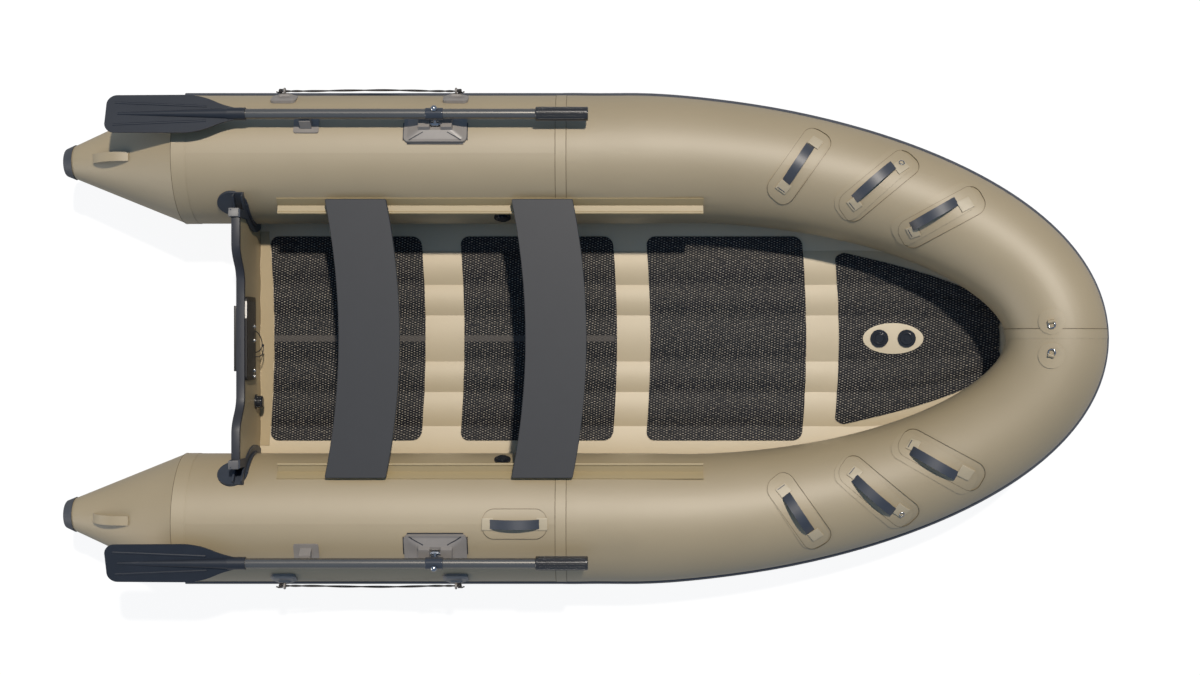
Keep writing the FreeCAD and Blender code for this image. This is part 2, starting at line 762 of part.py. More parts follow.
def bench_plan():
    """Plan of a bench: both long edges bow forward by the same arc."""
    a, bow = bench_width / 2, bench_bow
    h = tube_centre_y - tube_radius * sin(radians(bench_end_angle))
    edges = []
    for x in (-a, a):
        edges.append(Part.Arc(V(x, -h, 0), V(x + bow, 0, 0), V(x, h, 0)).toShape())
    for y in (-h, h):
        edges.append(Part.LineSegment(V(-a, y, 0), V(a, y, 0)).toShape())
    return Part.Wire(Part.__sortEdges__(edges))


def bench(x):
    """Flat plank with rounded corners and broken edges."""
    plank = Part.Face(bench_plan()).extrude(V(0, 0, bench_thickness))
    upright = [e for e in plank.Edges if e.BoundBox.ZLength > bench_thickness * 0.8]
    plank = plank.makeFillet(bench_corner, upright)
    rims = [e for e in plank.Edges if e.BoundBox.YLength > bench_width]
    plank = plank.makeChamfer(2.0, rims)
    plank.translate(V(x, 0, bench_low_z()))
    return plank


def bench_shoe(x, plank):
    """Channel under the bench's end that wraps the rail's bead and slides on it."""
    foot, v, w = inner_frame(rail_flap_angle, rail_flap_lean)
    bead = bead_centre()
    outer = rail_bead_radius + shoe_clearance + shoe_wall
    wrap = Part.makeCylinder(outer, shoe_length, bead, V(1, 0, 0))
    top = bench_low_z() + bench_thickness / 2
    web = Part.makeBox(shoe_length, 2 * outer, top - bead.z, V(0, bead.y - outer, bead.z))
    shoe = wrap.fuse(web)
    shoe = shoe.cut(Part.makeCylinder(rail_bead_radius + shoe_clearance, shoe_length, bead, V(1, 0, 0)))
    slot_width = rail_flap_thickness + 2 * shoe_clearance
    slot = Part.makeBox(shoe_length, slot_width, rail_flap_width, V(0, -slot_width / 2, 0))
    shoe = shoe.cut(placed(slot, foot, V(1, 0, 0), v, w))
    shoe.translate(V(x - shoe_length / 2, 0, 0))
    return min(shoe.cut(plank).Solids, key=lambda s: s.CenterOfMass.z)


# Fittings on the tubes

def tube_frame(station, angle):
    """Point on the tube at this angle outboard of its crown, with along, round and outward directions."""
    centre, out, up, radius = station
    a = radians(angle)
    w = out * sin(a) + up * cos(a)
    v = out * cos(a) - up * sin(a)
    return centre + w * radius, v.cross(w), v, w


def tube_valve():
    """Recessed inflation valve: flange on the tube, ribbed cap."""
    point, u, v, w = tube_frame(straight_station(tube_valve_x), -tube_valve_angle)
    flange = Part.makeCylinder(tube_valve_radius, 5 + 6, V(0, 0, -6))
    cap_radius = tube_valve_radius * 0.72
    cap = Part.makeCylinder(cap_radius, tube_valve_height)
    cap = cap.makeFillet(3, [cap.Edges[0]])
    notches = [Part.makeCylinder(2.4, 20, V(cap_radius * cos(a), cap_radius * sin(a), 5.5))
               for a in [2 * pi * k / 10 for k in range(10)]]
    body = placed(flange.fuse(cap.cut(Part.makeCompound(notches))), point, u, v, w)
    return body.cut(aft_tube(seat_gap)).Solids[0]


def pivot_point():
    a = radians(rowlock_angle)
    reach = tube_radius + pivot_lift
    return V(rowlock_x, tube_centre_y + reach * sin(a), tube_radius + reach * cos(a))


def pin_direction():
    a = radians(pin_rest_angle)
    return V(0, sin(a), cos(a))


def shaft_centre():
    return pivot_point() + pin_direction() * pin_length


def tapered_block(low_size, high_size, z_low, z_high, corner):
    wires = [rounded_rectangle(low_size[0], low_size[1], corner, z_low),
             rounded_rectangle(high_size[0], high_size[1], corner, z_high)]
    return Part.makeLoft(wires, True, True)


def rowlock_base():
    """Moulded pad with a pyramid body and two bearing blocks, open between them for the barrel."""
    point, u, v, w = tube_frame(straight_station(rowlock_x), rowlock_base_angle)
    flange = rounded_box(rowlock_flange[0], rowlock_flange[1], 34, 18)
    flange.translate(V(0, 0, -30))
    body = tapered_block(rowlock_body, rowlock_body_top, 2, rowlock_body_height, 10)
    offset = -(pivot_lift + tube_radius) * sin(radians(rowlock_base_angle - rowlock_angle))
    blocks = []
    for side in (-1, 1):
        block = tapered_block(rowlock_block, rowlock_block_top, rowlock_body_height - 3,
                              rowlock_block_height, 5)
        block.translate(V(side * (rowlock_slot + rowlock_block[0]) / 2, offset, 0))
        blocks.append(block)
    shape = placed(flange.fuse([body] + blocks), point, u, v, w)
    pivot = pivot_point()
    gap = Part.makeCylinder(barrel_radius + 2.0, rowlock_slot, pivot - V(rowlock_slot / 2, 0, 0), V(1, 0, 0))
    reach = 2 * barrel_radius + 30
    slot = Part.makeBox(rowlock_slot, 2 * reach, 60, V(-rowlock_slot / 2, -reach, 0))
    slot = placed(slot, pivot, u, v, w)
    hole = Part.makeCylinder(trunnion_radius + running_gap, rowlock_slot + 2 * trunnion_length + 4,
                             pivot - V(rowlock_slot / 2 + trunnion_length + 2, 0, 0), V(1, 0, 0))
    shape = shape.cut([gap, slot, hole, aft_tube(seat_gap)])
    return max(shape.Solids, key=lambda s: s.Volume)


def rowlock_swivel():
    """Barrel with trunnions, and the pin with its domed head that the oar's collar turns on."""
    pivot, n = pivot_point(), pin_direction()
    barrel = Part.makeCylinder(barrel_radius, barrel_length, pivot - V(barrel_length / 2, 0, 0), V(1, 0, 0))
    barrel = barrel.makeFillet(2, barrel.Edges[:1] + barrel.Edges[2:3])
    reach = barrel_length / 2 + (rowlock_slot - barrel_length) / 2 + trunnion_length
    trunnions = Part.makeCylinder(trunnion_radius, 2 * reach, pivot - V(reach, 0, 0), V(1, 0, 0))
    shoulder = Part.makeCylinder(pin_radius * 2, pin_length - collar_radius - 1, pivot, n)
    pin = Part.makeCylinder(pin_radius, pin_length + collar_radius + 4, pivot, n)
    head_foot = pivot + n * (pin_length + collar_radius + 1)
    head = Part.makeSphere(pin_head_radius, head_foot, n, 0, 90, 360)
    return barrel.fuse([trunnions, shoulder, pin, head])


# Oars

def oar_shaft():
    """Alloy tube from the grip to the blade's socket, drilled for the rowlock pin."""
    centre = shaft_centre()
    start, end = blade_neck_x - socket_depth + 2, grip_end_x - 10
    place = V(start, centre.y, centre.z)
    tube = Part.makeCylinder(shaft_radius, end - start, place, V(1, 0, 0))
    bore = Part.makeCylinder(shaft_radius - shaft_wall, end - start, place, V(1, 0, 0))
    return tube.cut([bore, pin_hole()])


def pin_hole():
    n = pin_direction()
    start = shaft_centre() - n * 2 * collar_radius
    return Part.makeCylinder(pin_radius + running_gap, 4 * collar_radius, start, n)


def oar_collar():
    """Moulded sleeve round the shaft with a boss at each end of the pin hole."""
    centre, n = shaft_centre(), pin_direction()
    start = centre - V(collar_length / 2, 0, 0)
    sleeve = Part.makeCylinder(collar_radius, collar_length, start, V(1, 0, 0))
    sleeve = sleeve.makeFillet(2, sleeve.Edges[:1] + sleeve.Edges[2:3])
    bore = Part.makeCylinder(shaft_radius + running_gap, collar_length, start, V(1, 0, 0))
    return sleeve.cut([bore, pin_hole()])


def oar_grip():
    """Ribbed hand grip, closed at its end."""
    centre = shaft_centre()
    place = V(grip_start_x, centre.y, centre.z)
    length = grip_end_x - grip_start_x
    grip = Part.makeCylinder(grip_radius, length, place, V(1, 0, 0))
    grip = grip.makeFillet(4, grip.Edges[:1] + grip.Edges[2:3])
    grooves = []
    for k in range(grip_rib_count):
        a = 2 * pi * k / grip_rib_count
        r = grip_radius + 0.6
        start = place + V(10, r * cos(a), r * sin(a))
        grooves.append(Part.makeCylinder(grip_rib_depth, length - 20, start, V(1, 0, 0)))
    bore = Part.makeCylinder(shaft_radius + running_gap, length - 10, place, V(1, 0, 0))
    return grip.cut(grooves + [bore])


def blade_outline():
    """Plan of the blade from its round-cornered tip, through the full width, to the neck."""
    w, c = blade_width / 2, blade_tip_corner
    k = c * (1 - sqrt(0.5))
    full = blade_full_length
    neck = blade_neck_x - blade_tip_x
    neck_half = socket_radius * 0.8
    mid_x, mid_y = (full + neck) / 2, (w + neck_half) / 2
    swell = V((full + mid_x) / 2, (w + mid_y) / 2 + 6, 0)
    waist = V((neck + mid_x) / 2, (neck_half + mid_y) / 2 - 5, 0)
    port = [
        Part.Arc(V(0, w - c - 6, 0), V(k * 0.8, w - k - 4, 0), V(c, w - 1.5, 0)).toShape(),
        Part.LineSegment(V(c, w - 1.5, 0), V(full, w, 0)).toShape(),
        Part.Arc(V(full, w, 0), swell, V(mid_x, mid_y, 0)).toShape(),
        Part.Arc(V(mid_x, mid_y, 0), waist, V(neck, neck_half, 0)).toShape(),
    ]
    other = [edge.mirror(V(0, 0, 0), V(0, 1, 0)) for edge in port]
    ends = [Part.LineSegment(V(0, w - c - 6, 0), V(0, 6 + c - w, 0)).toShape(),
            Part.LineSegment(V(neck, neck_half, 0), V(neck, -neck_half, 0)).toShape()]
    return Part.Wire(Part.__sortEdges__(port + other + ends))


def oar_blade():
    """Moulded blade with a centre spine, two side ribs and a socket for the shaft."""
    centre = shaft_centre()
    neck = blade_neck_x - blade_tip_x
    plate = Part.Face(blade_outline()).extrude(V(0, 0, blade_thickness))
    plate.translate(V(0, 0, -blade_thickness / 2))
    spine = Part.makeCone(blade_rib_radius, socket_radius, neck - 40, V(40, 0, 0), V(1, 0, 0))
    ribs = []
    for side in (-1, 1):
        start = V(28, side * blade_width * 0.29, 0)
        end = V(neck * 0.72, side * blade_width * 0.19, 0)
        ribs.append(Part.makeCylinder(blade_rib_radius, (end - start).Length, start, end - start))
    socket = Part.makeCylinder(socket_radius, socket_depth, V(neck - socket_depth, 0, 0), V(1, 0, 0))
    blade = plate.fuse([spine, socket] + ribs)
    bore_start = V(neck - socket_depth + 1, 0, 0)
    bore = Part.makeCylinder(shaft_radius + running_gap, socket_depth, bore_start, V(1, 0, 0))
    blade = blade.cut(bore)
    roll = radians(blade_roll)
    across, face = V(0, cos(roll), -sin(roll)), V(0, sin(roll), cos(roll))
    return placed(blade, V(blade_tip_x, centre.y, centre.z), V(1, 0, 0), across, face)


def oar_clip():
    """Pad on the tube and a tapered arm whose top lies along the path of the stowed shaft."""
    point, u, v, w = tube_frame(straight_station(clip_x), clip_angle)
    pad = rounded_box(clip_pad[0], clip_pad[1], 34, 8)
    pad.translate(V(0, 0, -30))
    pad = placed(pad, point, u, v, w)
    n = pin_direction()
    side = V(0, n.z, -n.y)
    centre = V(clip_x, shaft_centre().y, shaft_centre().z)
    top = centre - n * (shaft_radius + clip_shaft_gap)
    half = clip_arm_width / 2
    foot = V(clip_x, point.y, point.z)
    profile = [top + side * half, top - side * half * 0.3, top - side * half - n * 5, foot - v * half * 1.3,
               foot + v * half * 1.3]
    arm = polygon_prism([p - V(clip_arm_length / 2, 0, 0) for p in profile], V(clip_arm_length, 0, 0))
    body = pad.fuse(arm).cut(aft_tube(seat_gap))
    return max(body.Solids, key=lambda s: s.Volume)


# Grab lines

def rope_holder(x):
    """Bonded pad with an eye that the grab line is tied to."""
    point, u, v, w = tube_frame(straight_station(x), rope_holder_angle)
    length, width = rope_holder_pad
    pad = rounded_box(length, width, 33, 16)
    pad.translate(V(0, -rope_holder_pad_inboard, -30))
    bevel = tapered_block((length, width), (length - 18, width - 18), 3, 8, 16)
    bevel.translate(V(0, -rope_holder_pad_inboard, 0))
    boss = tapered_block((58, 32), (30, 18), 6, rope_holder_boss, 6)
    eye_radius = rope_radius + seat_gap + rope_eye_wire
    eye = Part.makeTorus(eye_radius, rope_eye_wire, V(0, 0, rope_lift()), V(1, 0, 0))
    body = placed(pad.fuse([bevel, boss, eye]), point, u, v, w).cut(aft_tube(seat_gap))
    return max(body.Solids, key=lambda s: s.Volume)


def rope_lift():
    """Height of the eye's centre above the tube."""
    return rope_holder_boss + rope_radius + seat_gap + rope_eye_wire


def rope_route():
    """Corner points of the port grab line, through both eyes; it bows outward and sags between them."""
    point, u, v, w = tube_frame(straight_station(rope_holder_x[0]), rope_holder_angle)
    eye = point + w * rope_lift()
    x0, x1 = rope_holder_x
    shape = ((0.09, 1, -5), (0.14, 2, -12), (0.21, 4, -23), (0.29, 7, -34), (0.39, 9, -42), (0.49, 10, -46),
             (0.60, 10, -43), (0.70, 8, -36), (0.79, 5, -24), (0.86, 2, -12), (0.91, 1, -5))
    middle = [V(x0 + (x1 - x0) * share, eye.y + dy, eye.z + dz) for share, dy, dz in shape]
    start = [V(x0 - rope_tail, eye.y, eye.z), V(x0 + rope_eye_run, eye.y, eye.z)]
    end = [V(x1 - rope_eye_run, eye.y, eye.z), V(x1 + rope_tail, eye.y, eye.z)]
    return start + middle + end


def cord_path(points):
    """Straight runs joined by tangent arcs, each as large as its two runs allow."""
    edges, cursor = [], points[0]
    for before, corner, after in zip(points, points[1:], points[2:]):
        back, ahead = before - corner, after - corner
        trim = 0.45 * min(back.Length, ahead.Length)
        start = corner + back.normalize() * trim
        end = corner + ahead.normalize() * trim
        half_turn = (pi - back.getAngle(ahead)) / 2
        radius = trim / tan(half_turn)
        bisector = back + ahead
        bisector.normalize()
        middle = corner + bisector * (radius / cos(half_turn) - radius)
        edges.append(Part.LineSegment(cursor, start).toShape())
        edges.append(Part.Arc(start, middle, end).toShape())
        print("cord bend radius %.1f" % radius)
        cursor = end
    edges.append(Part.LineSegment(cursor, points[-1]).toShape())
    return Part.Wire(edges)


def grab_line():
    points = rope_route()
    path = cord_path(points)
    ring = Part.Wire(Part.Circle(points[0], points[1] - points[0], rope_radius).toShape())
    rope = path.makePipeShell([ring], True, False)
    filled = rope.Volume / (pi * rope_radius ** 2 * path.Length)
    print("grab line %.1f mm, volume share %.4f" % (path.Length, filled))
    return rope


# Handles and rings

def surface_near(x, y, lift):
    """Point on the port tube's upper surface above this plan position, raised by lift, and the normal."""
    best = None
    for k in range(241):
        station = bow_station(pi / 2 * k / 240)
        flat = V(x, y, 0) - V(station[0].x, station[0].y, 0)
        distance = abs(flat.dot(V(-station[1].y, station[1].x, 0)))
        if best is None or distance < best[0]:
            best = (distance, station)
    centre, out, up, radius = best[1]
    off = (V(x, y, 0) - V(centre.x, centre.y, 0)).dot(out)
    off = max(-radius, min(radius, off))
    w = out * (off / radius) + up * sqrt(1 - (off / radius) ** 2)
    return centre + w * (radius + lift), w


def strap_between(a, b, w, lift):
    """Webbing that arches from a to b over the middle of the patch."""
    chord = b - a
    u = V(chord)
    u.normalize()
    v = w.cross(u)
    v.normalize()
    n = u.cross(v)
    half = chord.Length / 2
    middle = (a + b) * 0.5
    low = [V(-half, 0, 0), V(0, 0, lift), V(half, 0, 0)]
    high = [V(x, 0, z + strap_thickness) for x, z in ((-half - 1, 0), (0, lift), (half + 1, 0))]
    edges = [Part.Arc(*low).toShape(), Part.Arc(*high).toShape(),
             Part.LineSegment(low[0], high[0]).toShape(), Part.LineSegment(low[2], high[2]).toShape()]
    strap = Part.Face(Part.Wire(Part.__sortEdges__(edges))).extrude(V(0, strap_width, 0))
    strap.translate(V(0, -strap_width / 2, 0))
    return placed(strap, middle, u, v, n)


def handle_patch(a, b, w, overhang, skin_outer, skin_inner):
    """Round-cornered patch bonded to the tube under a handle."""
    chord = b - a
    u = V(chord)
    u.normalize()
    v = w.cross(u)
    v.normalize()
    n = u.cross(v)
    blank = rounded_box(chord.Length + 2 * overhang, patch_width, 170, patch_corner)
    blank.translate(V(0, 0, -110))
    prism = placed(blank, (a + b) * 0.5, u, v, n)
    return prism.common(skin_outer).cut(skin_inner)


def bow_handles():
    base = seat_gap + patch_thickness
    outer, inner = bow_tube(base), bow_tube(seat_gap)
    straps, patches = [], []
    for (ax, ay), (bx, by) in bow_handle_ends:
        a, wa = surface_near(ax, ay, base + seat_gap)
        b, wb = surface_near(bx, by, base + seat_gap)
        w = wa + wb
        w.normalize()
        middle, wm = surface_near((ax + bx) / 2, (ay + by) / 2, base)
        rise = (middle - (a + b) * 0.5).dot(w)
        straps.append(strap_between(a, b, w, rise + strap_lift).cut(bow_tube(base + seat_gap)))
        patches.append(handle_patch(a, b, w, patch_overhang, outer, inner))
    return straps, patches


def side_handle():
    """Carry handle along the crown of the starboard tube."""
    base = seat_gap + patch_thickness
    station = straight_station(side_handle_x)
    crown = station[0] + station[2] * (station[3] + base + seat_gap)
    half = V(side_handle_length / 2, 0, 0)
    aft, fore, up = crown - half, crown + half, V(0, 0, 1)
    strap = strap_between(aft, fore, up, strap_lift)
    patch = handle_patch(aft, fore, up, side_patch_overhang, tube_run(base), tube_run(seat_gap))
    return mirrored(strap), mirrored(patch)


def tube_run(grow):
    start = V(side_handle_x - 400, tube_centre_y, tube_radius)
    return Part.makeCylinder(tube_radius + grow, 800, start, V(1, 0, 0))


def cone_handle():
    """Lifting loop on top of a stern cone."""
    stations = [cone_tip_x + distance for distance in cone_handle_from_tip]
    ends = [V(x, cone_centre_at(x), tube_radius + cone_radius_at(x) + seat_gap) for x in stations]
    w = (ends[1] - ends[0]).cross(V(0, 1, 0)) * -1
    w.normalize()
    if w.z < 0:
        w = w * -1
    strap = strap_between(ends[0], ends[1], w, strap_lift)
    return strap.cut(cone_between(cone_joint_x, cone_tip_x, seat_gap))


def bow_ring_frame():
    return tube_frame(bow_station(pi / 2 * bow_ring_angle), bow_ring_tube_angle)


def bow_ring_patch():
    """Round patch with a moulded saddle that traps the ring."""
    point, u, v, w = bow_ring_frame()
    disc = Part.makeCylinder(ring_patch_radius, 60, V(0, 0, -50))
    skin = placed(disc, point, u, v, w).common(bow_tube(3.0)).cut(bow_tube(seat_gap))
    half = ring_saddle_width / 2
    arch = Part.makeCylinder(half, ring_saddle_length, V(0, -ring_saddle_length / 2, ring_lift - 1), V(0, 1, 0))
    foot = Part.makeBox(ring_saddle_width, ring_saddle_length, ring_lift, V(-half, -ring_saddle_length / 2, -1))
    channel = Part.makeTorus(ring_radius, ring_wire + seat_gap, V(ring_radius, 0, ring_lift), V(0, 0, 1))
    saddle = arch.fuse(foot).cut(channel)
    return skin.fuse(placed(saddle, point, u, v, w).cut(bow_tube(seat_gap)))


def bow_ring():
    point, u, v, w = bow_ring_frame()
    ring = Part.makeTorus(ring_radius, ring_wire, V(ring_radius, 0, ring_lift), V(0, 0, 1))
    return placed(ring, point, u, v, w)


def build():
    os.makedirs("parts", exist_ok=True)
    both_sides("aft_tube", aft_tube())
    both_sides("bow_tube", bow_tube())
    cone = cone_between(cone_joint_x, cone_tip_x)
    both_sides("stern_cone", cone)
    both_sides("end_cap", end_cap())
    both_sides("rubbing_strake", rubbing_strake())

    export("air_floor", air_floor())
    export("keel_strip", keel_strip())
    for name, (x_from, x_to) in mat_spans.items():
        export(name, floor_mat(x_from, x_to))
    export("floor_mat_bow", bow_mat())
    export("floor_valve_patch", valve_patch())
    export("floor_inflation_valve", floor_valve(valve_patch_x + floor_valve_spacing / 2, False))
    export("floor_relief_valve", floor_valve(valve_patch_x - floor_valve_spacing / 2, True))

    export("transom_board", transom_board())
    inner_plate = clamp_plate(inner_plate_width, inner_plate_height, inner_plate_thickness, False)
    outer_plate = clamp_plate(outer_plate_width, outer_plate_height, outer_plate_thickness, True)
    export("motor_plate_inner", inner_plate)
    export("motor_plate_outer", outer_plate)
    both_sides("transom_holder", transom_holder())
    export("drain_valve", drain_valve())

    both_sides("bench_rail", bench_rail())
    for name, x in (("bench_aft", bench_aft_x), ("bench_fore", bench_fore_x)):
        plank = bench(x)
        shoe = bench_shoe(x, plank)
        export(name, plank)
        export(name + "_shoes", [shoe, mirrored(shoe)])

    valve = tube_valve()
    export("tube_valves", [valve, mirrored(valve)])
    both_sides("rowlock_base", rowlock_base())
    both_sides("rowlock_swivel", rowlock_swivel())
    both_sides("oar_shaft", oar_shaft())
    both_sides("oar_collar", oar_collar())
    both_sides("oar_grip", oar_grip())
    both_sides("oar_blade", oar_blade())
    both_sides("oar_clip", oar_clip())
    both_sides("rope_holders", Part.makeCompound([rope_holder(x) for x in rope_holder_x]))
    both_sides("grab_line", grab_line())

    straps, patches = bow_handles()
    both_sides("bow_handle_straps", Part.makeCompound(straps))
    both_sides("bow_handle_patches", Part.makeCompound(patches))
    strap, patch = side_handle()
    export("side_handle_strap", strap)
    export("side_handle_patch", patch)
    handle = cone_handle()
    export("cone_handles", [handle, mirrored(handle)])
    patch, ring = bow_ring_patch(), bow_ring()
    export("bow_ring_patches", [patch, mirrored(patch)])
    export("bow_rings", [ring, mirrored(ring)])


build()
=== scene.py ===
import bpy
import bmesh
from math import cos, pi, radians, sin, sqrt
from mathutils import Matrix, Vector


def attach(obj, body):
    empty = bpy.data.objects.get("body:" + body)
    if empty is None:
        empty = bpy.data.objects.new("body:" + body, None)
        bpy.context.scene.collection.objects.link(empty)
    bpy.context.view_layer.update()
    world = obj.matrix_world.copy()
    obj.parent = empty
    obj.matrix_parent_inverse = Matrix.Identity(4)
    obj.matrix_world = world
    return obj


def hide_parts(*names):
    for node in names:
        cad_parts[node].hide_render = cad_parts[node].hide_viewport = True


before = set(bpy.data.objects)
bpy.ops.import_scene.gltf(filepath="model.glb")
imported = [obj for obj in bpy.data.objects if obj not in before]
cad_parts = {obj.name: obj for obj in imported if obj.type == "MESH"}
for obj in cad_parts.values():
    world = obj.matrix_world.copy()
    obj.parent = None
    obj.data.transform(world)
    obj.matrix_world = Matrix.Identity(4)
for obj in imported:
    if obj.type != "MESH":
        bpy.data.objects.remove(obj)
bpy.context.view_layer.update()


# Camera. It hangs straight above the boat, a little forward of the middle, with the bow to the
# right. From this height the lens just takes in the boat from cone tips to stem.
bpy.ops.object.camera_add(location=(0.0706, 0.0035, 6.115), rotation=(0.0, 0.0, 0.0))
camera = bpy.context.object
camera.data.lens = 50.0
camera.data.sensor_width = 36.0
bpy.context.scene.camera = camera
bpy.context.scene.view_settings.view_transform = "Standard"


# Grab lines. A doubled polyester cord runs along each side through two moulded eyes, hangs slack
# between them and is stopped behind each eye with a barrel knot. Its two strands are twisted
# together.
def linear(colour):
    """The linear colour of an sRGB hex value."""
    parts = [int(colour[k:k + 2], 16) / 255 for k in (1, 3, 5)]
    return (*[c / 12.92 if c <= 0.04045 else ((c + 0.055) / 1.055) ** 2.4 for c in parts], 1.0)


def start_material(name, **sockets):
    """A new material with constant values on its shader, and that shader."""
    material = bpy.data.materials.new(name)
    material.use_nodes = True
    shader = material.node_tree.nodes["Principled BSDF"]
    for socket, value in sockets.items():
        shader.inputs[socket.replace("_", " ")].default_value = value
    return material, shader


def add_node(material, kind, inputs=None, to=None, **settings):
    """One node: inputs are values or (node, output) links, to is (node, input, output) it feeds."""
    made = material.node_tree.nodes.new("ShaderNode" + kind)
    for name, value in settings.items():
        setattr(made, name, value)
    for socket, value in (inputs or {}).items():
        if isinstance(value, tuple) and hasattr(value[0], "outputs"):
            material.node_tree.links.new(value[0].outputs[value[1]], made.inputs[socket])
        else:
            made.inputs[socket].default_value = value
    if to:
        material.node_tree.links.new(made.outputs[to[2]], to[0].inputs[to[1]])
    return made


def select_only(piece):
    bpy.ops.object.select_all(action="DESELECT")
    piece.select_set(True)
    bpy.context.view_layer.objects.active = piece


def apply_modifier(piece, kind, **settings):
    select_only(piece)
    modifier = piece.modifiers.new(kind, kind)
    for name, value in settings.items():
        setattr(modifier, name, value)
    bpy.ops.object.modifier_apply(modifier=modifier.name)


def settle(piece, name, body, material, angle=35):
    """Puts the piece's place in its mesh and ties it to its body, slot and finish."""
    select_only(piece)
    bpy.ops.object.transform_apply(location=True, rotation=True, scale=True)
    piece.name = name
    piece.data.materials.clear()
    piece.data.materials.append(material)
    bpy.ops.object.shade_smooth_by_angle(angle=radians(angle))
    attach(piece, body)
    return piece


def mesh_object(name, shape):
    mesh = bpy.data.meshes.new(name)
    shape.to_mesh(mesh)
    shape.free()
    piece = bpy.data.objects.new(name, mesh)
    bpy.context.scene.collection.objects.link(piece)
    return piece


def add_strand(shape, centres, radius, sides=8):
    """A round cord along these centres, closed at both ends, its length and turn kept as UV."""
    layer = shape.loops.layers.uv.verify()
    rings, run = [], [0.0]
    for k, centre in enumerate(centres):
        ahead = centres[min(k + 1, len(centres) - 1)] - centres[max(k - 1, 0)]
        ahead.normalize()
        side = ahead.cross(Vector((0, 0, 1)))
        side.normalize()
        over = side.cross(ahead)
        spokes = [side * cos(turn) + over * sin(turn)
                  for turn in [2 * pi * j / sides for j in range(sides)]]
        rings.append([shape.verts.new(centre + spoke * radius) for spoke in spokes])
        if k:
            run.append(run[-1] + (centre - centres[k - 1]).length)
    for k, (ring, following) in enumerate(zip(rings, rings[1:])):
        for j in range(sides):
            after = (j + 1) % sides
            face = shape.faces.new((ring[j], ring[after], following[after], following[j]))
            corners = ((run[k], j), (run[k], j + 1), (run[k + 1], j + 1), (run[k + 1], j))
            for loop, (u, v) in zip(face.loops, corners):
                loop[layer].uv = (u, v / sides)
    shape.faces.new(list(reversed(rings[0])))
    shape.faces.new(rings[-1])


def spline_line(points):
    """The smooth centreline of a cord that is led along these points."""
    curve = bpy.data.curves.new("route", "CURVE")
    curve.dimensions = "3D"
    spline = curve.splines.new("NURBS")
    spline.points.add(len(points) - 1)
    for point, place in zip(spline.points, points):
        point.co = (*place, 1.0)
    spline.order_u = 3
    spline.use_endpoint_u = True
    spline.resolution_u = 16
    holder = bpy.data.objects.new("route", curve)
    line = bpy.data.meshes.new_from_object(holder)
    places = [v.co.copy() for v in line.vertices]
    bpy.data.objects.remove(holder)
    return places


def braided(name, light, dark, roughness, yarn_pitch):
    """Braided cord, whose two tones of yarn cross it at 45 degrees: material, shader and yarns."""
    material, shader = start_material(name, Roughness=roughness, IOR=1.5)
    round_cord = add_node(material, "UVMap")
    lay = add_node(material, "Mapping", {"Vector": (round_cord, "UV"),
                                         "Rotation": (0, 0, radians(45)),
                                         "Scale": (1 / yarn_pitch, 2.0, 1.0)})
    yarns = add_node(material, "TexChecker", {"Vector": (lay, "Vector"), "Scale": 1.0,
                                              "Color1": linear(dark), "Color2": linear(light)},
                     to=(shader, "Base Color", "Color"))
    return material, shader, yarns


both_sides = ((1, "port"), (-1, "starboard"))
rope_points = [
    (-1.0460, 0.8603, 0.3176), (-1.0040, 0.8603, 0.3176), (-0.9724, 0.8613, 0.3126),
    (-0.9426, 0.8623, 0.3056), (-0.9008, 0.8643, 0.2946), (-0.8532, 0.8673, 0.2836),
    (-0.7936, 0.8693, 0.2756), (-0.7340, 0.8703, 0.2716), (-0.6684, 0.8703, 0.2746),
    (-0.6088, 0.8683, 0.2816), (-0.5552, 0.8653, 0.2936), (-0.5134, 0.8623, 0.3056),
    (-0.4836, 0.8613, 0.3126), (-0.4520, 0.8603, 0.3176), (-0.4100, 0.8603, 0.3176),
]
rope_diameter = 0.008
strand_radius = 0.0025
slack_twist, end_twist = 25.0, 110.0
knot_length, knot_radius, knot_setback = 0.012, 0.0062, 0.007
knot_tail = (0.010, 0.004, 0.003)

# Braided polyester gives dull dark cords with paler tracer yarns, rough to the light.
braided_cord, shader, yarns = braided("braided polyester", "#42382d", "#1e2024", 0.72, 0.006)
add_node(braided_cord, "Bump", {"Height": (yarns, "Fac"), "Strength": 0.6, "Distance": 0.0004},
         to=(shader, "Normal", "Normal"))


def twisted_pair(shape, line):
    """Two cords twisted round one line, so many radians a metre and more of them at its ends."""
    reach = len(line) - 1
    for half in (0, pi):
        centres, turn = [], half
        for k, place in enumerate(line):
            share = abs(2.0 * k / reach - 1.0)
            turn += (line[k] - line[max(k - 1, 0)]).length * (slack_twist + end_twist * share ** 4)
            offset = Vector((0, cos(turn), sin(turn))) * (rope_diameter / 2 - strand_radius)
            centres.append(place + offset)
        add_strand(shape, centres, strand_radius)


def barrel_knot(shape, centre, along):
    """Two and a half turns of cord wound round the line, and a short tail."""
    turns = [centre + Vector((along * (k / 40 - 0.5) * knot_length,
                              knot_radius * cos(k * pi / 8), knot_radius * sin(k * pi / 8)))
             for k in range(41)]
    tail = turns[-1] + Vector((along * knot_tail[0], knot_tail[1], knot_tail[2]))
    add_strand(shape, turns + [tail], strand_radius)


for side, name in both_sides:
    line = spline_line([(x, side * y, z) for x, y, z in rope_points])
    shape = bmesh.new()
    twisted_pair(shape, line)
    rope = settle(mesh_object("rope", shape), "grab_cord_" + name, "hull",
                  braided_cord, 60)
    shape = bmesh.new()
    for end, along in ((Vector(line[0]), 1), (Vector(line[-1]), -1)):
        barrel_knot(shape, end + Vector((along * knot_setback, 0, 0)), -along)
    knots = settle(mesh_object("knots", shape), "grab_cord_knots_" + name, "hull",
                   braided_cord, 60)
    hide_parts("grab_line_" + name)


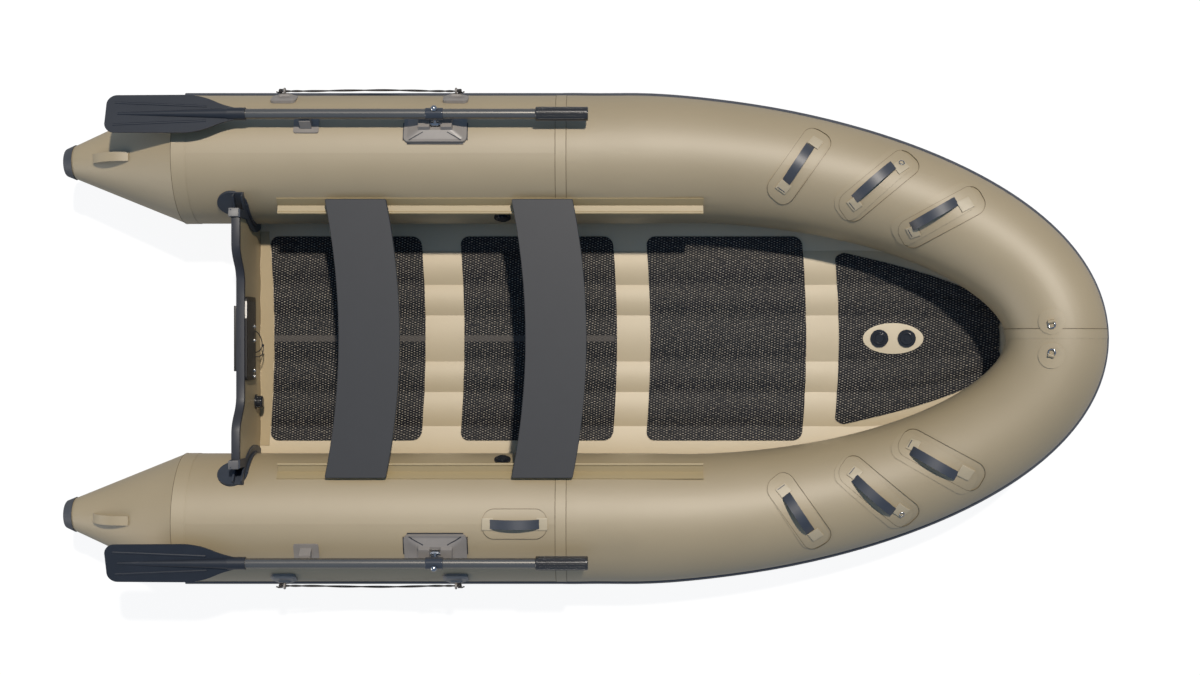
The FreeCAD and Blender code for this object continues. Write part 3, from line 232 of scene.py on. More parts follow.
# Motor pad lanyard. A thin dark cord leaves the lower edge of the inner pad, makes one loop that
# hangs clear of the board, and goes back in. A short end is tied to the loop with an overhand knot.
lanyard_diameter = 0.0034
lanyard_points = [
    (-1.1464, 0.0263, 0.2340), (-1.1390, 0.0225, 0.2325), (-1.1325, 0.0110, 0.2210),
    (-1.1290, -0.0060, 0.2040), (-1.1285, -0.0250, 0.1960), (-1.1325, -0.0400, 0.2040),
    (-1.1400, -0.0480, 0.2210), (-1.1464, -0.0500, 0.2330),
]
tail_points = [
    (-1.1464, -0.0640, 0.2330), (-1.1370, -0.0655, 0.2290), (-1.1290, -0.0610, 0.2120),
    (-1.1262, -0.0500, 0.1980), (-1.1255, -0.0390, 0.1925), (-1.1262, -0.0270, 0.1915),
]
overhand_middle = (-1.1272, -0.0245, 0.1935)
overhand_size = (0.0011, 0.0013, 0.0016)

# Waxed cord is nearly black, with a low sheen on yarns that are too close to tell apart.
lanyard_cord, shader, yarns = braided("waxed lanyard cord", "#22252d", "#15171d", 0.45, 0.004)


def lanyard_piece(name, centres):
    shape = bmesh.new()
    add_strand(shape, centres, lanyard_diameter / 2, 10)
    return settle(mesh_object(name, shape), name, "hull", lanyard_cord, 60)


line = spline_line(lanyard_points)
lanyard = lanyard_piece("pad_lanyard", line)
tail_line = spline_line(tail_points)
tail = lanyard_piece("pad_lanyard_tail", tail_line)
knot_line = []
for turn in [2 * pi * k / 60 for k in range(60)]:
    knot_line.append(Vector((
        overhand_middle[0] + overhand_size[0] * (sin(turn) + 2 * sin(2 * turn)),
        overhand_middle[1] + overhand_size[1] * (cos(turn) - 2 * cos(2 * turn)),
        overhand_middle[2] - overhand_size[2] * sin(3 * turn))))
knot = lanyard_piece("pad_lanyard_knot", knot_line)


# Studio. A white sheet under the boat, a high warm lamp from port and a weak low one from starboard
# aft, and a bluish sky. The camera sees sheet and sky white, metal sees a part of that.
sheet_width = 80.0
mirrored_share, white_share = 0.12, 0.88
bpy.ops.object.select_all(action="DESELECT")
bpy.ops.mesh.primitive_plane_add(size=sheet_width, location=(0, 0, 0))
ground = bpy.context.object
ground.name = "studio_floor"


def seen_share(material):
    """1 for what the camera sees, directly or through glass, and a part of it in reflections."""
    path = add_node(material, "LightPath")
    mirrored = add_node(material, "Math", {0: (path, "Is Glossy Ray"), 1: mirrored_share},
                        operation="MULTIPLY")
    seen = add_node(material, "Math", {0: (path, "Is Camera Ray"), 1: (mirrored, "Value")},
                    operation="MAXIMUM")
    return add_node(material, "Math", {0: (seen, "Value"), 1: (path, "Is Transmission Ray")},
                    operation="MAXIMUM")


# The sheet is part matte, to keep the boat's shadow, and the rest of it shines white, so that the
# shadow stays faint.
white_sheet = bpy.data.materials.new("studio sheet")
white_sheet.use_nodes = True
white_sheet.node_tree.nodes.clear()
sheet_output = add_node(white_sheet, "OutputMaterial")
sheet_seen = seen_share(white_sheet)
shown_share = add_node(white_sheet, "Math", {0: (sheet_seen, "Value"), 1: white_share},
                       operation="MULTIPLY")
sheet_tone = add_node(white_sheet, "Mix", {0: (sheet_seen, "Value"), 6: linear("#8e8e8e"),
                                           7: linear("#fafafa")}, data_type="RGBA")
matte = add_node(white_sheet, "BsdfDiffuse", {"Color": (sheet_tone, 2)})
shown = add_node(white_sheet, "Emission", {"Color": linear("#ffffff"), "Strength": 1.04})
add_node(white_sheet, "MixShader", {0: (shown_share, "Value"), 1: (matte, "BSDF"),
                                    2: (shown, "Emission")}, to=(sheet_output, "Surface", "Shader"))
ground.data.materials.append(white_sheet)

sky = bpy.data.worlds.new("bluish sky")
bpy.context.scene.world = sky
sky.use_nodes = True
sky.node_tree.nodes.clear()
sky_output = add_node(sky, "OutputWorld")
sky_seen = seen_share(sky)
sky_light = add_node(sky, "Background", {"Color": linear("#617ea0"), "Strength": 1.0})
sky_shown = add_node(sky, "Background", {"Color": linear("#ffffff"), "Strength": 1.0})
add_node(sky, "MixShader", {0: (sky_seen, "Value"), 1: (sky_light, "Background"),
                            2: (sky_shown, "Background")}, to=(sky_output, "Surface", "Shader"))

warm_light = (1.0, 0.92, 0.82)
high_lamp = (Vector((0.187, 0.460, 1.0)), 3.15, 2.5)
low_lamp = (Vector((-0.92, -0.35, 0.17)), 0.8, 25)
for lamp_from, energy, angle in (high_lamp, low_lamp):
    bpy.ops.object.light_add(type="SUN", location=lamp_from * 4,
                             rotation=lamp_from.to_track_quat("Z", "Y").to_euler())
    lamp = bpy.context.object
    lamp.data.energy = energy
    lamp.data.angle = radians(angle)
    lamp.data.color = warm_light


# Buoyancy tubes. Polyester cloth coated on both sides with plasticised vinyl, welded into tubes and
# blown hard, so the skin is tight and satin, with short creases running out from each cross seam.
def two_toned(name, light, dark, patch, detail=3.0, coarseness=0.5, **sockets):
    """A finish that drifts between two tones in patches of this size, with its shader, the
    piece's own coordinates and the drift, for what a finish adds to it."""
    material, shader = start_material(name, **sockets)
    place = (add_node(material, "TexCoord"), "Object")
    drift = add_node(material, "TexNoise", {"Vector": place, "Scale": 1 / patch, "Detail": detail,
                                            "Roughness": coarseness})
    add_node(material, "Mix", {0: (drift, "Fac"), 6: linear(dark), 7: linear(light)},
             data_type="RGBA", to=(shader, "Base Color", 2))
    return material, shader, place, drift


def dress(material, *names):
    for name in names:
        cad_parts[name].data.materials.clear()
        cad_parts[name].data.materials.append(material)


# The base cloth's own threads are too fine to show, so its grain is drawn 4.5 mm coarse. Creases
# are 200 mm long and 29 mm wide, and fade out 110 mm from their seam.
cloth_patch = 0.385
cloth_grain = 0.0045
crease_length, crease_width, crease_reach, crease_depth = 0.200, 0.0294, 0.11, 9.0


def coated_cloth(name, light, dark, seams=()):
    """Vinyl coated cloth: a faint uneven tone, the base cloth's grain, creases at the seams."""
    material, shader, place, _ = two_toned(
        name, light, dark, cloth_patch, coarseness=0.55, Roughness=0.62, IOR=1.53,
        Specular_IOR_Level=0.9, Coat_Weight=0.75, Coat_Roughness=0.52, Coat_IOR=1.5)
    grain = add_node(material, "TexNoise", {"Vector": place, "Scale": 1 / cloth_grain,
                                            "Detail": 2.0})
    height = (grain, "Fac")
    for seam_x in seams:
        axes = add_node(material, "SeparateXYZ", {0: place})
        away = add_node(material, "Math", {0: (axes, "X"), 1: seam_x}, operation="SUBTRACT")
        spread = add_node(material, "Math", {0: (away, "Value")}, operation="ABSOLUTE")
        near = add_node(material, "MapRange", {0: (spread, "Value"), 1: 0.0, 2: crease_reach,
                                               3: crease_depth, 4: 0.0},
                        interpolation_type="SMOOTHSTEP")
        stretch = add_node(material, "Mapping", {"Vector": place, "Scale": (
            1 / crease_length, 1 / crease_width, 1 / crease_width)})
        crease = add_node(material, "TexNoise", {"Vector": (stretch, "Vector"), "Scale": 1.0,
                                                 "Detail": 1.0})
        fold = add_node(material, "Math", {0: (crease, "Fac"), 1: (near, "Result")},
                        operation="MULTIPLY")
        height = (add_node(material, "Math", {0: height, 1: (fold, "Value")}, operation="ADD"),
                  "Value")
    add_node(material, "Bump", {"Height": height, "Strength": 0.35, "Distance": 0.0004},
             to=(shader, "Normal", "Normal"))
    return material


bow_seam_x = -0.0638
cone_seam_x = -1.390
tube_cloth = coated_cloth("coated tube cloth", "#9f8f6f", "#938363", (bow_seam_x, cone_seam_x))
dress(tube_cloth, "aft_tube_port", "aft_tube_starboard", "stern_cone_port", "stern_cone_starboard")

# The bow tubes are shown by skins whose loose triangles are merged, so that the light runs smoothly
# over the crown.
weld_distance = 0.00002
bow_skins = {}
for side, name in both_sides:
    skin = bpy.data.objects.new("skin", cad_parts["bow_tube_" + name].data.copy())
    bpy.context.scene.collection.objects.link(skin)
    select_only(skin)
    bpy.ops.mesh.customdata_custom_splitnormals_clear()
    bpy.ops.object.mode_set(mode="EDIT")
    bpy.ops.mesh.select_all(action="SELECT")
    bpy.ops.mesh.remove_doubles(threshold=weld_distance)
    bpy.ops.object.mode_set(mode="OBJECT")
    bow_skins[name] = settle(skin, "bow_skin_" + name, "hull", tube_cloth, 60)
    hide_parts("bow_tube_" + name)


# Seam tapes. Strips of the tube cloth, one cloth thick, are welded over each cross seam of the
# tubes and over the stem seam. A fine bead of darker vinyl was squeezed out along their edges.
def moulded(name, light, dark, roughness, grain=0.0012, strength=0.12, **sockets):
    """Moulded or squeezed plastic or rubber: a slightly uneven tone and a spark-eroded grain."""
    material, shader, place, _ = two_toned(name, light, dark, moulding_patch,
                                           Roughness=roughness, IOR=1.5, **sockets)
    sparks = add_node(material, "TexNoise", {"Vector": place, "Scale": 1 / grain, "Detail": 2.0})
    add_node(material, "Bump", {"Height": (sparks, "Fac"), "Strength": strength,
                                "Distance": 0.0004}, to=(shader, "Normal", "Normal"))
    return material


# The tape is a little paler than the tubes. The squeezed out vinyl is dull and darker.
moulding_patch = 0.0556
tape_cloth = coated_cloth("seam tape cloth", "#a19171", "#958565")
bead_vinyl = moulded("squeezed out vinyl", "#6f634a", "#5e543e", 0.55)

tube_radius = 0.225
tube_centre_y = 0.631
tape_lift, tape_thickness = 0.0002, 0.0008
bead_lift, bead_radius = 0.0004, 0.0012
tapes = (("bow", bow_seam_x, 0.037, ("aft", "fore")),
         ("cone", cone_seam_x + 0.024, 0.048, ("aft",)))
for side, name in both_sides:
    for label, tape_x, tape_width, beads in tapes:
        bpy.ops.object.select_all(action="DESELECT")
        bpy.ops.mesh.primitive_cylinder_add(
            vertices=128, radius=tube_radius + tape_lift, depth=tape_width,
            end_fill_type="NOTHING", rotation=(0, pi / 2, 0),
            location=(tape_x, side * tube_centre_y, tube_radius))
        tape = bpy.context.object
        apply_modifier(tape, "SOLIDIFY", thickness=tape_thickness, offset=1.0)
        settle(tape, "seam_tape_" + label + "_" + name, "hull", tape_cloth)
        for edge in beads:
            bead_x = tape_x + (tape_width / 2 if edge == "fore" else -tape_width / 2)
            bpy.ops.object.select_all(action="DESELECT")
            bpy.ops.mesh.primitive_torus_add(
                major_segments=128, minor_segments=8, major_radius=tube_radius + bead_lift,
                minor_radius=bead_radius, rotation=(0, pi / 2, 0),
                location=(bead_x, side * tube_centre_y, tube_radius))
            settle(bpy.context.object, "seam_bead_" + label + "_" + edge + "_" + name, "hull",
                   bead_vinyl)

# The stem's tape and its one bead are bands round the bow tubes where they meet, drawn on to them.
stem_x, stem_z, stem_radius = 1.636, 0.395, 0.1705
stem_bands = (("tape_stem", 0.0165, 0.032, 0.0008, tape_cloth),
              ("bead_stem_port", 0.0335, 0.0022, 0.0018, bead_vinyl))
for label, seam_y, width, thickness, finish in stem_bands:
    bpy.ops.object.select_all(action="DESELECT")
    bpy.ops.mesh.primitive_cylinder_add(
        vertices=128, radius=stem_radius, depth=width, end_fill_type="NOTHING",
        location=(stem_x, seam_y, stem_z), rotation=(pi / 2, 0, 0))
    stem_band = bpy.context.object
    bpy.ops.object.mode_set(mode="EDIT")
    bpy.ops.mesh.select_all(action="SELECT")
    bpy.ops.mesh.subdivide(number_cuts=1)
    bpy.ops.object.mode_set(mode="OBJECT")
    apply_modifier(stem_band, "SHRINKWRAP", target=bow_skins["port"], offset=tape_lift)
    apply_modifier(stem_band, "SOLIDIFY", thickness=thickness, offset=1.0)
    settle(stem_band, "seam_" + label, "hull", finish)


# End caps. A moulded rubber cup is bonded over the small end of each stern cone to take knocks.
# The moulding is a matte dark grey, a little polished where hands and quays rub it.
scuff_size = 0.0333
cap_rubber, shader, place, scuffs = two_toned("moulded cap rubber", "#4c4e53", "#34373c",
                                              scuff_size, 4.0, IOR=1.52)
add_node(cap_rubber, "MapRange", {0: (scuffs, "Fac"), 3: 0.45, 4: 0.65},
         to=(shader, "Roughness", "Result"))
dress(cap_rubber, "end_cap_port", "end_cap_starboard")


# Rubbing strake. An extruded rubber band with two round ribs is bonded round the widest line of the
# tubes. The die leaves it smooth, so the upper rib carries a line of light.
streak_size = 0.0714
die_mark = 0.00111
strake_rubber, shader, place, _ = two_toned(
    "extruded strake rubber", "#41444d", "#2b2f37", streak_size, 5.0, 0.7,
    Roughness=0.36, IOR=1.52, Specular_IOR_Level=0.8)
marks = add_node(strake_rubber, "TexNoise", {"Vector": place, "Scale": 1 / die_mark})
add_node(strake_rubber, "Bump", {"Height": (marks, "Fac"), "Strength": 0.15, "Distance": 0.0003},
         to=(shader, "Normal", "Normal"))
dress(strake_rubber, "rubbing_strake_port", "rubbing_strake_starboard")


# Air floor. The same coated cloth in a paler shade, with inner webs that hold it to seven
# lengthwise cells, each blown to a low crown. A rubber strip, rubbed paler in places, is bonded
# under it as the keel.
floor_cloth = coated_cloth("coated floor cloth", "#baa988", "#ae9e7d")
dress(floor_cloth, "air_floor")
rub_size = 0.0455
keel_rubber = two_toned("keel strip rubber", "#4b4e56", "#2b2e35", rub_size, 4.0,
                        Roughness=0.6, IOR=1.52)[0]
dress(keel_rubber, "keel_strip")


# Floor mats. Four pieces of open woven vinyl mesh, cut with round corners and laid loose on the
# floor, so each follows the crowns of the cells. A smooth grey welt runs down the two aft ones.
mat_thickness = 0.0024
mat_lift, mat_start_z = 0.0005, 0.6
weave_pitch = (0.0098, 0.0090)
weave_turn = radians(1.5)
drift_size, drift_reach = 0.385, 0.016
yarn_clump = 0.00667
welt_half_width, welt_end_x = 0.0125, 0.12

# The weave is a little uneven; crossings get a painted highlight, holes a painted shade.
mat_mesh, shader = start_material("woven vinyl mesh", Roughness=0.62, IOR=1.5,
                                  Specular_IOR_Level=0.25)
place = (add_node(mat_mesh, "TexCoord"), "Object")
drift = add_node(mat_mesh, "TexNoise", {"Vector": place, "Scale": 1 / drift_size, "Detail": 1.0})
skew = add_node(mat_mesh, "MapRange", {0: (drift, "Fac"), 3: -drift_reach, 4: drift_reach})
skewed = add_node(mat_mesh, "VectorMath", {0: place, 1: (skew, "Result")}, operation="ADD")
warp = add_node(mat_mesh, "Mapping", {"Vector": (skewed, "Vector"), "Rotation": (0, 0, weave_turn),
                                      "Scale": (pi / weave_pitch[0], 2 * pi / weave_pitch[1], 0.0)})
yarns = add_node(mat_mesh, "SeparateXYZ", {0: (warp, "Vector")})
across = add_node(mat_mesh, "Math", {0: (yarns, "X")}, operation="COSINE")
along = add_node(mat_mesh, "Math", {0: (yarns, "Y")}, operation="COSINE")
crossing = add_node(mat_mesh, "Math", {0: (along, "Value"), 1: (across, "Value")},
                    operation="MULTIPLY")
uneven = add_node(mat_mesh, "TexNoise", {"Vector": place, "Scale": 1 / yarn_clump, "Detail": 1.0})
lifted = add_node(mat_mesh, "Math", {0: (crossing, "Value"), 1: (uneven, "Fac")},
                  operation="MULTIPLY")
spread = add_node(mat_mesh, "MapRange", {0: (lifted, "Value"), 1: -0.55, 2: 0.55})
# The pale stop is painted highlight on the yarn, the dark stops painted shade in the holes.
glint_and_hole_shade = add_node(mat_mesh, "ValToRGB", {"Fac": (spread, "Result")})
for stop, share, tone in ((0, 0.20, "#02040a"), (1, 1.0, "#a39a8b")):
    glint_and_hole_shade.color_ramp.elements[stop].position = share
    glint_and_hole_shade.color_ramp.elements[stop].color = linear(tone)
for share, tone in ((0.48, "#0c0f14"), (0.70, "#1a1b1e")):
    glint_and_hole_shade.color_ramp.elements.new(share).color = linear(tone)
axes = add_node(mat_mesh, "SeparateXYZ", {0: place})
off_middle = add_node(mat_mesh, "Math", {0: (axes, "Y")}, operation="ABSOLUTE")
in_welt = add_node(mat_mesh, "MapRange", {0: (off_middle, "Value"), 1: welt_half_width,
                                          2: welt_half_width - 0.003})
before_end = add_node(mat_mesh, "MapRange", {0: (axes, "X"), 1: welt_end_x + 0.01, 2: welt_end_x})
welt = add_node(mat_mesh, "Math", {0: (in_welt, "Result"), 1: (before_end, "Result")},
                operation="MULTIPLY")
add_node(mat_mesh, "Mix", {0: (welt, "Value"), 6: (glint_and_hole_shade, "Color"), 7: linear("#4c4844")},
         data_type="RGBA", to=(shader, "Base Color", 2))
add_node(mat_mesh, "Bump", {"Height": (crossing, "Value"), "Strength": 0.5, "Distance": 0.0008},
         to=(shader, "Normal", "Normal"))


def lay_mat(name, rows, window=None):
    """A mat from rows of (y, aft x, fore x), cut out inside an oval window, laid on the floor."""
    steps = 56
    shape = bmesh.new()
    grid = [[shape.verts.new((aft + (fore - aft) * k / steps, y, mat_start_z))
             for k in range(steps + 1)] for y, aft, fore in rows]
    for row, following in zip(grid, grid[1:]):
        for k in range(steps):
            corners = (row[k], row[k + 1], following[k + 1], following[k])
            middle = sum((corner.co for corner in corners), Vector()) / 4
            if window:
                middle_x, half_length, half_width = window
                if ((middle.x - middle_x) / half_length) ** 2 + (middle.y / half_width) ** 2 < 1.0:
                    continue
            shape.faces.new(corners)
    for vertex in [v for v in shape.verts if not v.link_faces]:
        shape.verts.remove(vertex)
    mat = mesh_object(name, shape)
    apply_modifier(mat, "SHRINKWRAP", target=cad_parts["air_floor"], wrap_method="PROJECT",
                   use_project_z=True, use_negative_direction=True, use_positive_direction=False,
                   offset=mat_lift)
    apply_modifier(mat, "SOLIDIFY", thickness=mat_thickness, offset=1.0)
    settle(mat, "mat_" + name, "hull", mat_mesh, 50)
    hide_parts("floor_mat_" + name)


mat_half_width = 0.367
mat_corner = 0.032
mat_bow = 0.016
mat_ends = (("aft", -1.117, -0.573), ("middle", -0.433, 0.116), ("fore", 0.236, 0.796))
for name, aft_x, fore_x in mat_ends:
    rows = []
    for k in range(-30, 31):
        y = mat_half_width * sin(pi / 2 * k / 30)
        past = max(0.0, abs(y) - (mat_half_width - mat_corner))
        inset = mat_corner - sqrt(max(0.0, mat_corner ** 2 - past ** 2))
        bow = mat_bow * (1 - (y / mat_half_width) ** 2)
        rows.append((y, aft_x + bow + inset, fore_x + bow - inset))
    lay_mat(name, rows)


def drop_on(target, x, y, height=1.0):
    """Where a plumb line over this place meets the target from above, and its normal there."""
    point, normal = target.ray_cast(Vector((x, y, height)), Vector((0, 0, -1)))[1:3]
    return point, normal


# An apron of darker cloth bridges the cells from the board's foot to the aft mat.
apron_cloth = coated_cloth("apron cloth", "#9d895f", "#927e55")
apron_aft, apron_fore, apron_half_width = -1.1505, -1.1185, 0.385
apron_lift, apron_thickness = 0.0006, 0.0012
crown_x = -1.135
crown_top = max(drop_on(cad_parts["air_floor"], crown_x, 0.01 * k, 0.3)[0].z
                for k in range(-36, 37))
shape = bmesh.new()
pairs = []
for k in range(-22, 23):
    y = apron_half_width * k / 22
    fore = apron_fore + mat_bow * max(0.0, 1 - (y / mat_half_width) ** 2)
    pairs.append([shape.verts.new((x, y, crown_top + apron_lift)) for x in (apron_aft, fore)])
for pair, following in zip(pairs, pairs[1:]):
    shape.faces.new((pair[0], pair[1], following[1], following[0]))
apron = mesh_object("apron", shape)
apply_modifier(apron, "SOLIDIFY", thickness=apron_thickness, offset=1.0)
settle(apron, "floor_apron", "hull", apron_cloth, 40)

# The bow mat narrows to a blunt point, along an arc through its shoulder, flank and tip. An oval
# window is cut out of it round the valves.
bow_aft, bow_corner, blunt_nose = 0.913, 0.030, 0.008
shoulder_x, shoulder_y = 0.948, 0.307
flank_x, flank_y = 1.205, 0.240
tip_x, tip_y = 1.478, 0.030
valve_window = (1.119, 0.098, 0.047)
lean = (shoulder_x - tip_x) / (shoulder_y - tip_y)
flank_span = flank_y - tip_y
swell = (flank_x - tip_x - flank_span * lean) / (flank_span * (flank_y - shoulder_y))
rows = []
for k in range(-36, 37):
    y = shoulder_y * sin(pi / 2 * k / 36)
    past = max(0.0, abs(y) - (shoulder_y - bow_corner)) / bow_corner
    aft = bow_aft + mat_bow * (1 - (y / shoulder_y) ** 2) + bow_corner * past ** 3
    far = abs(y) - tip_y
    fore = tip_x + max(0.0, far) * lean + max(0.0, far) * (abs(y) - shoulder_y) * swell
    rows.append((y, aft, max(fore + (blunt_nose if far < 0 else 0.0), aft + 0.001)))
lay_mat("bow", rows, valve_window)


# Bow valve group. An oval doubler of pale cloth is bonded on the floor's middle cell, inside the
# window of the bow mat. It carries a filling valve with a screw cap and a flat relief valve.
doubler_cloth = coated_cloth("doubler cloth", "#c2b394", "#b7a888")
dress(doubler_cloth, "floor_valve_patch")

# Moulded nylon is almost black and smooth enough to shine. The tube and drain valves are of it too.
valve_nylon = moulded("valve nylon", "#26282d", "#17191d", 0.20, strength=0.05)
dress(valve_nylon, "floor_inflation_valve", "floor_relief_valve", "tube_valves", "drain_valve")


# Transom. A 24 mm marine plywood board, faced on both sides with a yellower coated cloth, stands
# between the tubes. A dark vinyl trim is pressed over its top edge, down the S shoulders and along
# the motor notch.
board_facing = coated_cloth("transom facing cloth", "#ae996f", "#a08b63")
dress(board_facing, "transom_board")
edge_vinyl = moulded("pressed edge vinyl", "#303136", "#28292d", 0.50)
trim_aft, trim_fore, trim_drop = -1.1803, -1.1545, 0.013
trim_thickness, trim_round = 0.0015, 0.0005
notch_floor_z = 0.37
trim_line = [(0.4248, 0.434), (0.4248, 0.4445), (0.4205, 0.4535), (0.4100, 0.4562),
             (0.3600, 0.4562), (0.3170, 0.4562), (0.3025, 0.4521), (0.2890, 0.4441),
             (0.2752, 0.4330), (0.2616, 0.4184), (0.2478, 0.4032), (0.2340, 0.3917),
             (0.2196, 0.3838), (0.2050, 0.3793), (0.1500, 0.3790)]
trim_line += [(-y, z) for y, z in reversed(trim_line)]
bpy.ops.object.select_all(action="DESELECT")
bpy.ops.mesh.primitive_plane_add(size=1.0, location=((trim_aft + trim_fore) / 2, 0, 0))
trim = bpy.context.object
bpy.ops.object.mode_set(mode="EDIT")
shape = bmesh.from_edit_mesh(trim.data)
for vertex in shape.verts:
    vertex.select_set(vertex.co.y < 0)
shape.select_flush_mode()
bpy.ops.mesh.delete(type="VERT")
shape = bmesh.from_edit_mesh(trim.data)
for vertex in shape.verts:
    vertex.co = Vector(((trim_fore - trim_aft) * (0.5 if vertex.co.x > 0 else -0.5), *trim_line[0]))
bmesh.update_edit_mesh(trim.data)
bpy.ops.mesh.select_all(action="SELECT")
for before, after in zip(trim_line, trim_line[1:]):
    bpy.ops.mesh.extrude_region_move(
        TRANSFORM_OT_translate={"value": (0, after[0] - before[0], after[1] - before[1])})
shape = bmesh.from_edit_mesh(trim.data)
for flange_x in (-1, 1):
    for edge in shape.edges:
        edge.select_set(all(vertex.co.x * flange_x > 0.001 for vertex in edge.verts)
                        and all(vertex.co.z > notch_floor_z for vertex in edge.verts))
    bmesh.update_edit_mesh(trim.data)
    bpy.ops.mesh.extrude_region_move(TRANSFORM_OT_translate={"value": (0, 0, -trim_drop)})
    shape = bmesh.from_edit_mesh(trim.data)
bpy.ops.mesh.select_all(action="SELECT")
bpy.ops.mesh.normals_make_consistent(inside=False)
bpy.ops.object.mode_set(mode="OBJECT")
apply_modifier(trim, "SOLIDIFY", thickness=trim_thickness, offset=1.0)
apply_modifier(trim, "BEVEL", width=trim_round, segments=2)
settle(trim, "transom_trim", "hull", edge_vinyl, 40)


# Transom holders. Each is a vinyl moulding: a round flange welded on the tube, an arm that follows
# the tube to the floor and grips the board's edge, and a smooth cap over the board's corner.
def give_size(piece, size):
    """Gives a new piece its size along its own axes, before it is shaped."""
    piece.scale = size
    select_only(piece)
    bpy.ops.object.transform_apply(location=False, rotation=False, scale=True)


# The holders are dull navy vinyl. Their caps are smoother, and their warm grey is a painted
# highlight for the light they catch.
holder_vinyl = moulded("transom holder vinyl", "#343a44", "#272c34", 0.5)
dress(holder_vinyl, "transom_holder_port", "transom_holder_starboard")
cap_painted_highlight = moulded("smooth cap vinyl with painted highlight", "#6a6866", "#5b5958", 0.50, Specular_IOR_Level=0.6)
cap_x, cap_y, cap_z = -1.1725, 0.4290, 0.4610
cap_size, cap_round = (0.0350, 0.0300, 0.0180), 0.0020
fore_slope, inboard_slope = 0.0058, 0.0056
for side, name in both_sides:
    bpy.ops.object.select_all(action="DESELECT")
    bpy.ops.mesh.primitive_cube_add(size=1.0, location=(cap_x, side * cap_y, cap_z))
    cap = bpy.context.object
    give_size(cap, cap_size)
    bpy.ops.object.mode_set(mode="EDIT")
    shape = bmesh.from_edit_mesh(cap.data)
    for vertex in shape.verts:
        x, y, z = vertex.co
        vertex.co.z -= (fore_slope * (x > 0) + inboard_slope * (y * side > 0)) * (z > 0)
    bmesh.update_edit_mesh(cap.data)
    bpy.ops.object.mode_set(mode="OBJECT")
    apply_modifier(cap, "BEVEL", width=cap_round, segments=3)
    settle(cap, "board_corner_cap_" + name, "hull", cap_painted_highlight, 40)


# Motor pads. Ribbed black plastic plates take the motor's clamp on both faces of the board, the
# outer one with a lip along its top. Four steel bolts hold them, and a white bead on part of the
# lip's top is a painted highlight.
pad_plastic = moulded("motor pad plastic", "#26231f", "#171512", 0.45)
dress(pad_plastic, "motor_plate_inner", "motor_plate_outer")
lip_middle, lip_size = (-1.1885, 0.0, 0.3605), (0.0080, 0.2260, 0.0090)
lip_rim, lip_dish, lip_round = 0.0018, 0.0012, 0.0006
bpy.ops.object.select_all(action="DESELECT")
bpy.ops.mesh.primitive_cube_add(size=1.0, location=lip_middle)
lip = bpy.context.object
give_size(lip, lip_size)
bpy.ops.object.mode_set(mode="EDIT")
shape = bmesh.from_edit_mesh(lip.data)
for face in shape.faces:
    face.select_set(face.normal.x < -0.9)
bmesh.update_edit_mesh(lip.data)
bpy.ops.mesh.inset(thickness=lip_rim)
bpy.ops.mesh.extrude_region_move(TRANSFORM_OT_translate={"value": (lip_dish, 0, 0)})
bpy.ops.object.mode_set(mode="OBJECT")
apply_modifier(lip, "BEVEL", width=lip_round, segments=2)
settle(lip, "outer_pad_lip", "hull", pad_plastic, 35)


def turned_steel(name, light, dark, roughness, tool_mark):
    """Turned stainless steel: bright, with tool marks drawn as coarse as they need to show."""
    return two_toned(name, light, dark, tool_mark, 2.0, Metallic=1.0, Roughness=roughness)[0]


# Each bolt shows its nut on a washer. The steel is pale and mirrors the sky.
bolt_steel = turned_steel("stainless bolt steel", "#dedcd8", "#b9b8b6", 0.22, 0.00167)
pad_face = -1.1464
bolt_z = 0.2500
bolt_ys = (0.042, -0.007, -0.113, -0.133)
nut_radius, nut_height, nut_standoff, nut_round = 0.0065, 0.0056, 0.0035, 0.0010
washer_radius, washer_height, washer_round = 0.0095, 0.0014, 0.0004
bpy.ops.object.select_all(action="DESELECT")
bpy.ops.mesh.primitive_cylinder_add(vertices=6, radius=nut_radius, depth=nut_height,
                                    rotation=(0, pi / 2, 0),
                                    location=(pad_face + nut_standoff, 0, bolt_z))
nut = bpy.context.object
apply_modifier(nut, "BEVEL", width=nut_round, segments=3)
bpy.ops.object.select_all(action="DESELECT")
bpy.ops.mesh.primitive_cylinder_add(vertices=40, radius=washer_radius, depth=washer_height,
                                    rotation=(0, pi / 2, 0),
                                    location=(pad_face + washer_height / 2, 0, bolt_z))
washer = bpy.context.object
apply_modifier(washer, "BEVEL", width=washer_round, segments=2)
nut.select_set(True)
bpy.ops.object.join()
bolts = [settle(washer, "pad_bolt_1", "hull", bolt_steel, 35)]
for k in (2, 3, 4):
    bolt = washer.copy()
    bolt.data = washer.data.copy()
    bpy.context.scene.collection.objects.link(bolt)
    bolt.name = "pad_bolt_" + str(k)
    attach(bolt, "hull")
    bolts.append(bolt)
for bolt, bolt_y in zip(bolts, bolt_ys):
    bolt.location.y = bolt_y
    select_only(bolt)
    bpy.ops.object.transform_apply(location=True, rotation=True, scale=True)

# A lumpy white bead on the lip's top is a painted highlight, for the light on the plate's edge.
lip_painted_highlight = moulded("white painted highlight", "#f2ece2", "#e2d9cb", 0.45, strength=0.3)
highlight_bead_middle, highlight_bead_size = (pad_face - 0.0042, 0.0995, 0.3674), (0.0076, 0.0600, 0.0034)
bpy.ops.object.select_all(action="DESELECT")
bpy.ops.mesh.primitive_cube_add(size=1.0, location=highlight_bead_middle)
highlight_bead = bpy.context.object
give_size(highlight_bead, highlight_bead_size)
bpy.ops.object.mode_set(mode="EDIT")
bpy.ops.mesh.select_all(action="SELECT")
bpy.ops.mesh.subdivide(number_cuts=5)
bpy.ops.mesh.vertices_smooth(factor=0.5, repeat=2)
bpy.ops.object.mode_set(mode="OBJECT")
apply_modifier(highlight_bead, "SUBSURF", levels=2, render_levels=2)
settle(highlight_bead, "lip_highlight_bead", "hull", lip_painted_highlight, 60)


